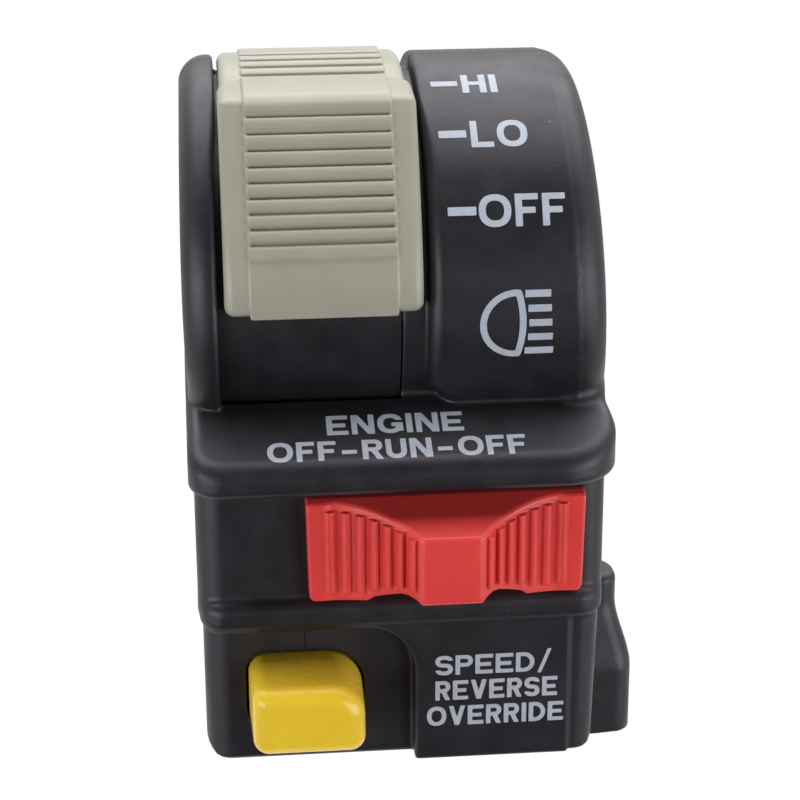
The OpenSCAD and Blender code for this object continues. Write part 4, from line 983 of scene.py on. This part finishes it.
def letter_s(u, v, w, h, t):
    a, b = w / 2, (h + 0.92 * t) / 4
    upper = most(oval(u, v, a, h - b, a, b, t), -bar(u, v, a, w + 1, -1, h - b + 0.04 * h))
    lower = most(oval(u, v, a, b, a, b, t), -bar(u, v, -1, a, b - 0.04 * h, h + 1))
    return least(upper, lower)


def letter_g(u, v, w, h, t):
    ring = most(letter_o(u, v, w, h, t), -bar(u, v, w / 2, w + 1, 0.4 * h, 0.68 * h))
    return least(ring, bars(u, v, (0.55 * w, w, 0.54 * h - 0.9 * t, 0.54 * h),
                            (w - 0.9 * t, w, 0.1 * h, 0.54 * h)))


def letter_dash(u, v, w, h, t):
    return bar(u, v, 0.12 * w, 0.88 * w, 0.4 * h - 0.45 * t, 0.4 * h + 0.45 * t)


def letter_slash(u, v, w, h, t):
    return slant(u, v, 0.5 * t, -0.08 * h, w - 0.5 * t, 1.15 * h, 0.8 * t)


# Each letter with its width over its height
LETTERS = {"H": (letter_h, 0.78), "I": (letter_i, 0.23), "L": (letter_l, 0.72), "O": (letter_o, 0.97),
           "F": (letter_f, 0.69), "E": (letter_e, 0.79), "N": (letter_n, 0.84), "G": (letter_g, 0.93),
           "R": (letter_r, 0.77), "U": (letter_u, 0.79), "S": (letter_s, 0.78), "P": (letter_p, 0.77),
           "D": (letter_d, 0.83), "V": (letter_v, 0.82), "-": (letter_dash, 0.74), "/": (letter_slash, 0.66)}
STROKE, LETTER_GAP, SLACK = 0.213, 0.12, 0.2
# Flat print: its cell, ends of a cut along a cell's side, and the ink's reach out and in
PRINT_CELL, CUT_LEAST, CUT_MOST, INK_OVER, INK_UNDER = 0.085, 0.04, 0.96, 0.035, 0.05
LAY_MOVE, LAY_ROUNDS, LAY_PROBE, TICK, PANEL_LETTER = 2.0, 6, 0.02, 0.95, 2.42


def words_field(words, width, height):
    """Field of a line of letters that fills the given width and height."""
    gap = LETTER_GAP * height
    parts = [LETTERS[c] for c in words]
    stretch = (width - gap * (len(parts) - 1)) / (height * sum(p[1] for p in parts))

    def field(u, v):
        at, out = 0.0, np.full(u.shape, 9.0)
        for form, wide in parts:
            w = wide * stretch * height
            out = least(out, form(u - at, v, w, height, STROKE * height))
            at += w + gap
        return out
    return field


def flat_mesh(field, width, low, high):
    """Flat triangles inside a field, over width and from low to high."""
    h = PRINT_CELL
    us = np.arange(-h, width + 2 * h, h)
    vs = np.arange(low - h, high + 2 * h, h)
    f = field(*np.meshgrid(us, vs, indexing="ij"))
    inside = f < 0
    points, tris, found = [], [], {}

    def point(a, b):
        if (a, b) not in found:
            t = 0.0 if a == b else min(CUT_MOST, max(CUT_LEAST, f[a] / (f[a] - f[b])))
            found[(a, b)] = len(points)
            points.append((us[a[0]] + t * (us[b[0]] - us[a[0]]), vs[a[1]] + t * (vs[b[1]] - vs[a[1]])))
        return found[(a, b)]

    some = inside[:-1, :-1] | inside[1:, :-1] | inside[1:, 1:] | inside[:-1, 1:]
    for i, j in np.argwhere(some).tolist():
        ring = [(i, j), (i + 1, j), (i + 1, j + 1), (i, j + 1)]
        loop = []
        for a, b in zip(ring, ring[1:] + ring[:1]):
            if inside[a]:
                loop.append(point(a, a))
            if inside[a] != inside[b]:
                loop.append(point(min(a, b), max(a, b)))
        tris += [(loop[0], loop[k], loop[k + 1]) for k in range(1, len(loop) - 1)]
    return np.array(points), np.array(tris)


def lay(name, flat, tris, where):
    """Lays flat print on the housing: where() gives a point near the surface for each flat point."""
    p = relax(rear_skin, where(flat[:, 0], flat[:, 1]), LAY_MOVE, LAY_ROUNDS)
    g = slope_of(rear_skin, p, LAY_PROBE)
    g /= np.sqrt((g * g).sum(1))[:, None]
    n = len(p)
    points = np.concatenate([p + INK_OVER * g, p - INK_UNDER * g], 0)
    # The print faces outwards
    a, b, c = p[tris.T]
    if (np.cross(b - a, c - a) * g[tris[:, 0]]).sum() < 0:
        tris = tris[:, ::-1]
    edges = {(tri[i - 1], tri[i]) for tri in tris.tolist() for i in range(3)}
    sides = []
    for u, v in sorted(edges):
        if (v, u) not in edges:
            sides += [[u + n, v + n, v], [u + n, v, u]]
    tris = np.concatenate([tris, tris[:, ::-1] + n, np.array(sides, int).reshape(-1, 3)], 0)
    ob = piece(name, points, tris, "housing", "housing_plastic", ink_mat)
    ob.data.polygons.foreach_set("use_smooth", np.zeros(len(tris), bool))


def on_drum(x0, a0):
    def where(u, v):
        a = np.radians(a0) + v / DRUM_R
        return np.stack([x0 + u, -DRUM_R * np.cos(a), DRUM_R * np.sin(a)], 1)
    return where


def on_shelf(x0, d0):
    def where(u, v):
        d = d0 - v * C_SLOPE
        return np.stack([x0 + u, -d, ROOT_Z - (d - ROOT_D) * SLOPE], 1)
    return where


def on_panel(x0, z0):
    def where(u, v):
        return np.stack([x0 + u, np.full(len(u), -PANEL_FACE), z0 + v], 1)
    return where


def words(name, text, width, height, where):
    slack = SLACK * height
    lay(name, *flat_mesh(words_field(text, width, height), width, -slack, height + slack), where)


# Lamp positions on the drum: word, its reach along the bar and round it, and its tick
for text, x1, x2, a1, a2, tick_1, tick_2 in (("HI", 8.45, 12.3, 63.7, 72.2, 5.05, 8.0),
                                             ("LO", 8.65, 14.8, 44.5, 53.0, 5.2, 8.2),
                                             ("OFF", 8.9, 18.2, 22.3, 31.0, 5.6, 8.65)):
    words("legend_lamp_" + text.lower(), text, x2 - x1, DRUM_R * math.radians(a2 - a1), on_drum(x1, a1))
    lay("legend_tick_" + text.lower(),
        *flat_mesh(lambda u, v: bar(u, v, 0, tick_2 - tick_1, 0, TICK), tick_2 - tick_1, 0, TICK),
        on_drum(tick_1, (a1 + a2) / 2 - math.degrees(TICK / 2 / DRUM_R)))


# Headlamp sign: lens, beams, and its reach and place on the drum
LENS_R, FRONT_R, FRONT_X, LENS_LINE, LENS_EDGE = 3.89, 12.7, -7.7, 0.72, 0.2
BEAMS, BEAM_TOP, BEAM_STEP, BEAM_HALF = 5, 3.42, 1.65, 0.4
BEAM_START, BEAM_END, BEAM_GROW = -7.4, 7.6, 0.1
SIGN_W, SIGN_HALF, SIGN_X, SIGN_A = 8.2, 4.2, 8.85, -3.72


def lamp_sign(u, v):
    """Headlamp sign: a lens outline and five beams, from the lens's left end and its middle height."""
    lens = rmax(np.hypot(u - LENS_R, v) - LENS_R, np.hypot(u - FRONT_X, v) - FRONT_R, LENS_EDGE)
    out = most(lens, -lens - LENS_LINE)
    for k in range(BEAMS):
        level = BEAM_TOP - BEAM_STEP * k
        left = math.sqrt(FRONT_R ** 2 - level ** 2) + BEAM_START
        out = least(out, bar(u, v, left, BEAM_END + BEAM_GROW * k, level - BEAM_HALF, level + BEAM_HALF))
    return out


lay("legend_lamp_sign", *flat_mesh(lamp_sign, SIGN_W, -SIGN_HALF, SIGN_HALF), on_drum(SIGN_X, SIGN_A))

# Words on the shelf: left end, width, and the depths of the line's foot and top
for text, x1, width, d1, d2 in (("ENGINE", -7.75, 14.85, 24.33, 21.6),
                                ("OFF-RUN-OFF", -14.3, 27.8, 27.88, 25.2)):
    words("legend_" + text.replace("-", "_").lower(), text, width, (d1 - d2) / C_SLOPE, on_shelf(x1, d1))
# Words on the panel: left and right end, and the line's foot
for text, x1, x2, z1 in (("SPEED/", 4.0, 17.2, -42.4), ("REVERSE", 4.0, 17.9, -45.55),
                         ("OVERRIDE", 3.05, 18.65, -48.74)):
    words("legend_" + text.strip("/").lower(), text, x2 - x1, PANEL_LETTER, on_panel(x1, z1))

# Finishes of the carried-over nodes
finish = {"slide_track": track_mat, "harness_grommet": rubber_mat}
for n in ("light_carrier", "stop_carrier"):
    finish[n] = inner_mat
for n in ("light_board", "stop_board", "override_base"):
    finish[n] = board_mat
for n in ("light_wiper", "light_pads", "stop_wiper", "stop_pads", "override_bridge", "override_contacts"):
    finish[n] = brass_mat
REPLACED = ("rear_housing", "front_housing", "light_cap", "stop_knob", "override_button", "override_spring")
for n in nodes:
    if n not in REPLACED:
        nodes[n].data.materials.clear()
        nodes[n].data.materials.append(finish.get(n, steel_mat))

# Floor, light and camera, in metres
FLOOR_R, FLOOR_SIDES, FLOOR_AT, FLOOR_GLOW = 0.42, 96, (0, 0.32, -0.24), 0.9
ROOM_LEVEL, MIRROR_SHARE = 0.5, 0.5


def rays(t):
    """Masks of what is seen straight, and of what is seen mirrored or through a clear piece."""
    path = t.nodes.new("ShaderNodeLightPath")
    mirrored = math_node(t, "MAXIMUM", path.outputs["Is Glossy Ray"], path.outputs["Is Transmission Ray"])
    return path.outputs["Is Camera Ray"], mirrored


def mix_shaders(t, fac, a, b, out):
    """Puts two shaders on the output, mixed by a mask."""
    n = t.nodes.new("ShaderNodeMixShader")
    t.links.new(fac, n.inputs["Fac"])
    t.links.new(a, n.inputs[1])
    t.links.new(b, n.inputs[2])
    t.links.new(n.outputs["Shader"], out.inputs["Surface"])


bm = bmesh.new()
bmesh.ops.create_circle(bm, cap_ends=True, segments=FLOOR_SIDES, radius=FLOOR_R)
me = bpy.data.meshes.new("floor")
bm.to_mesh(me)
bm.free()
floor = add_object("floor", me)
floor.location = FLOOR_AT
m, t, b = material("floor_pale")
tint(t, b, "Base Color", noise(t, 3.0), 0.86, 0.88)
b.inputs["Roughness"].default_value = 0.9
straight, mirrored = rays(t)
seen = math_node(t, "MAXIMUM", straight, mirrored)
glow = t.nodes.new("ShaderNodeEmission")
glow.inputs["Color"].default_value = (1, 1, 1, 1)
mix_shaders(t, math_node(t, "MULTIPLY", seen, FLOOR_GLOW), b.outputs["BSDF"], glow.outputs["Emission"],
            t.nodes["Material Output"])
floor.data.materials.append(m)

world = bpy.data.worlds.new("studio")
scene.world = world
world.use_nodes = True
t = world.node_tree
t.nodes.clear()
out = t.nodes.new("ShaderNodeOutputWorld")
co = t.nodes.new("ShaderNodeTexCoord")
sep = t.nodes.new("ShaderNodeSeparateXYZ")
t.links.new(co.outputs["Generated"], sep.inputs[0])
# A pale backdrop behind and at the sides, and the dark of the studio in front
backness = ramp(t, math_node(t, "ADD", math_node(t, "MULTIPLY", sep.outputs["Y"], 0.5), 0.5),
                [(0.0, 0.05), (0.3, 0.07), (0.5, 0.55), (0.65, 1.0)])
room = t.nodes.new("ShaderNodeBackground")
t.links.new(backness, room.inputs["Color"])
room.inputs["Strength"].default_value = ROOM_LEVEL
back = t.nodes.new("ShaderNodeBackground")
back.inputs["Color"].default_value = (1, 1, 1, 1)
straight, mirrored = rays(t)
mirrored = math_node(t, "MULTIPLY", math_node(t, "MULTIPLY", mirrored, MIRROR_SHARE), backness)
mix_shaders(t, math_node(t, "MAXIMUM", straight, mirrored), room.outputs[0], back.outputs[0], out)


def softbox(name, at, aim, size, level):
    """Rectangular lamp whose face shines at the given level."""
    li = bpy.data.lights.new(name, "AREA")
    li.shape = "RECTANGLE"
    li.size, li.size_y = size
    li.energy = level * math.pi * size[0] * size[1]
    ob = add_object(name, li)
    ob.location = at
    ob.rotation_euler = (Vector(aim) - Vector(at)).to_track_quat("-Z", "Y").to_euler()


middle = (0.0, -0.005, -0.018)
softbox("overhead", (0.15, 0.365, 0.62), (0.15, 0.365, 0.0), (1.5, 1.17), 2.5)
softbox("front_left", (-0.573, -0.481, -0.06), middle, (0.7, 0.4), 4.0)
softbox("front_right", (0.573, -0.481, -0.06), middle, (0.7, 0.4), 4.2)

cam = bpy.data.cameras.new("photo_view")
cam.lens = 99.0
cam.sensor_width = 36.0
cam.sensor_fit = "HORIZONTAL"
cam.clip_start = 0.01
eye = add_object("photo_view", cam)
at, aim, roll = Vector((-0.02060, -0.24484, 0.07136)), Vector((0.00241, 0.0, -0.01815)), math.radians(-0.22)
turn = (aim - at).to_track_quat("-Z", "Y").to_matrix()
turn = turn @ Matrix.Rotation(roll, 3, "Z")
eye.matrix_world = Matrix.Translation(at) @ turn.to_4x4()
scene.camera = eye
scene.view_settings.view_transform = "Standard"
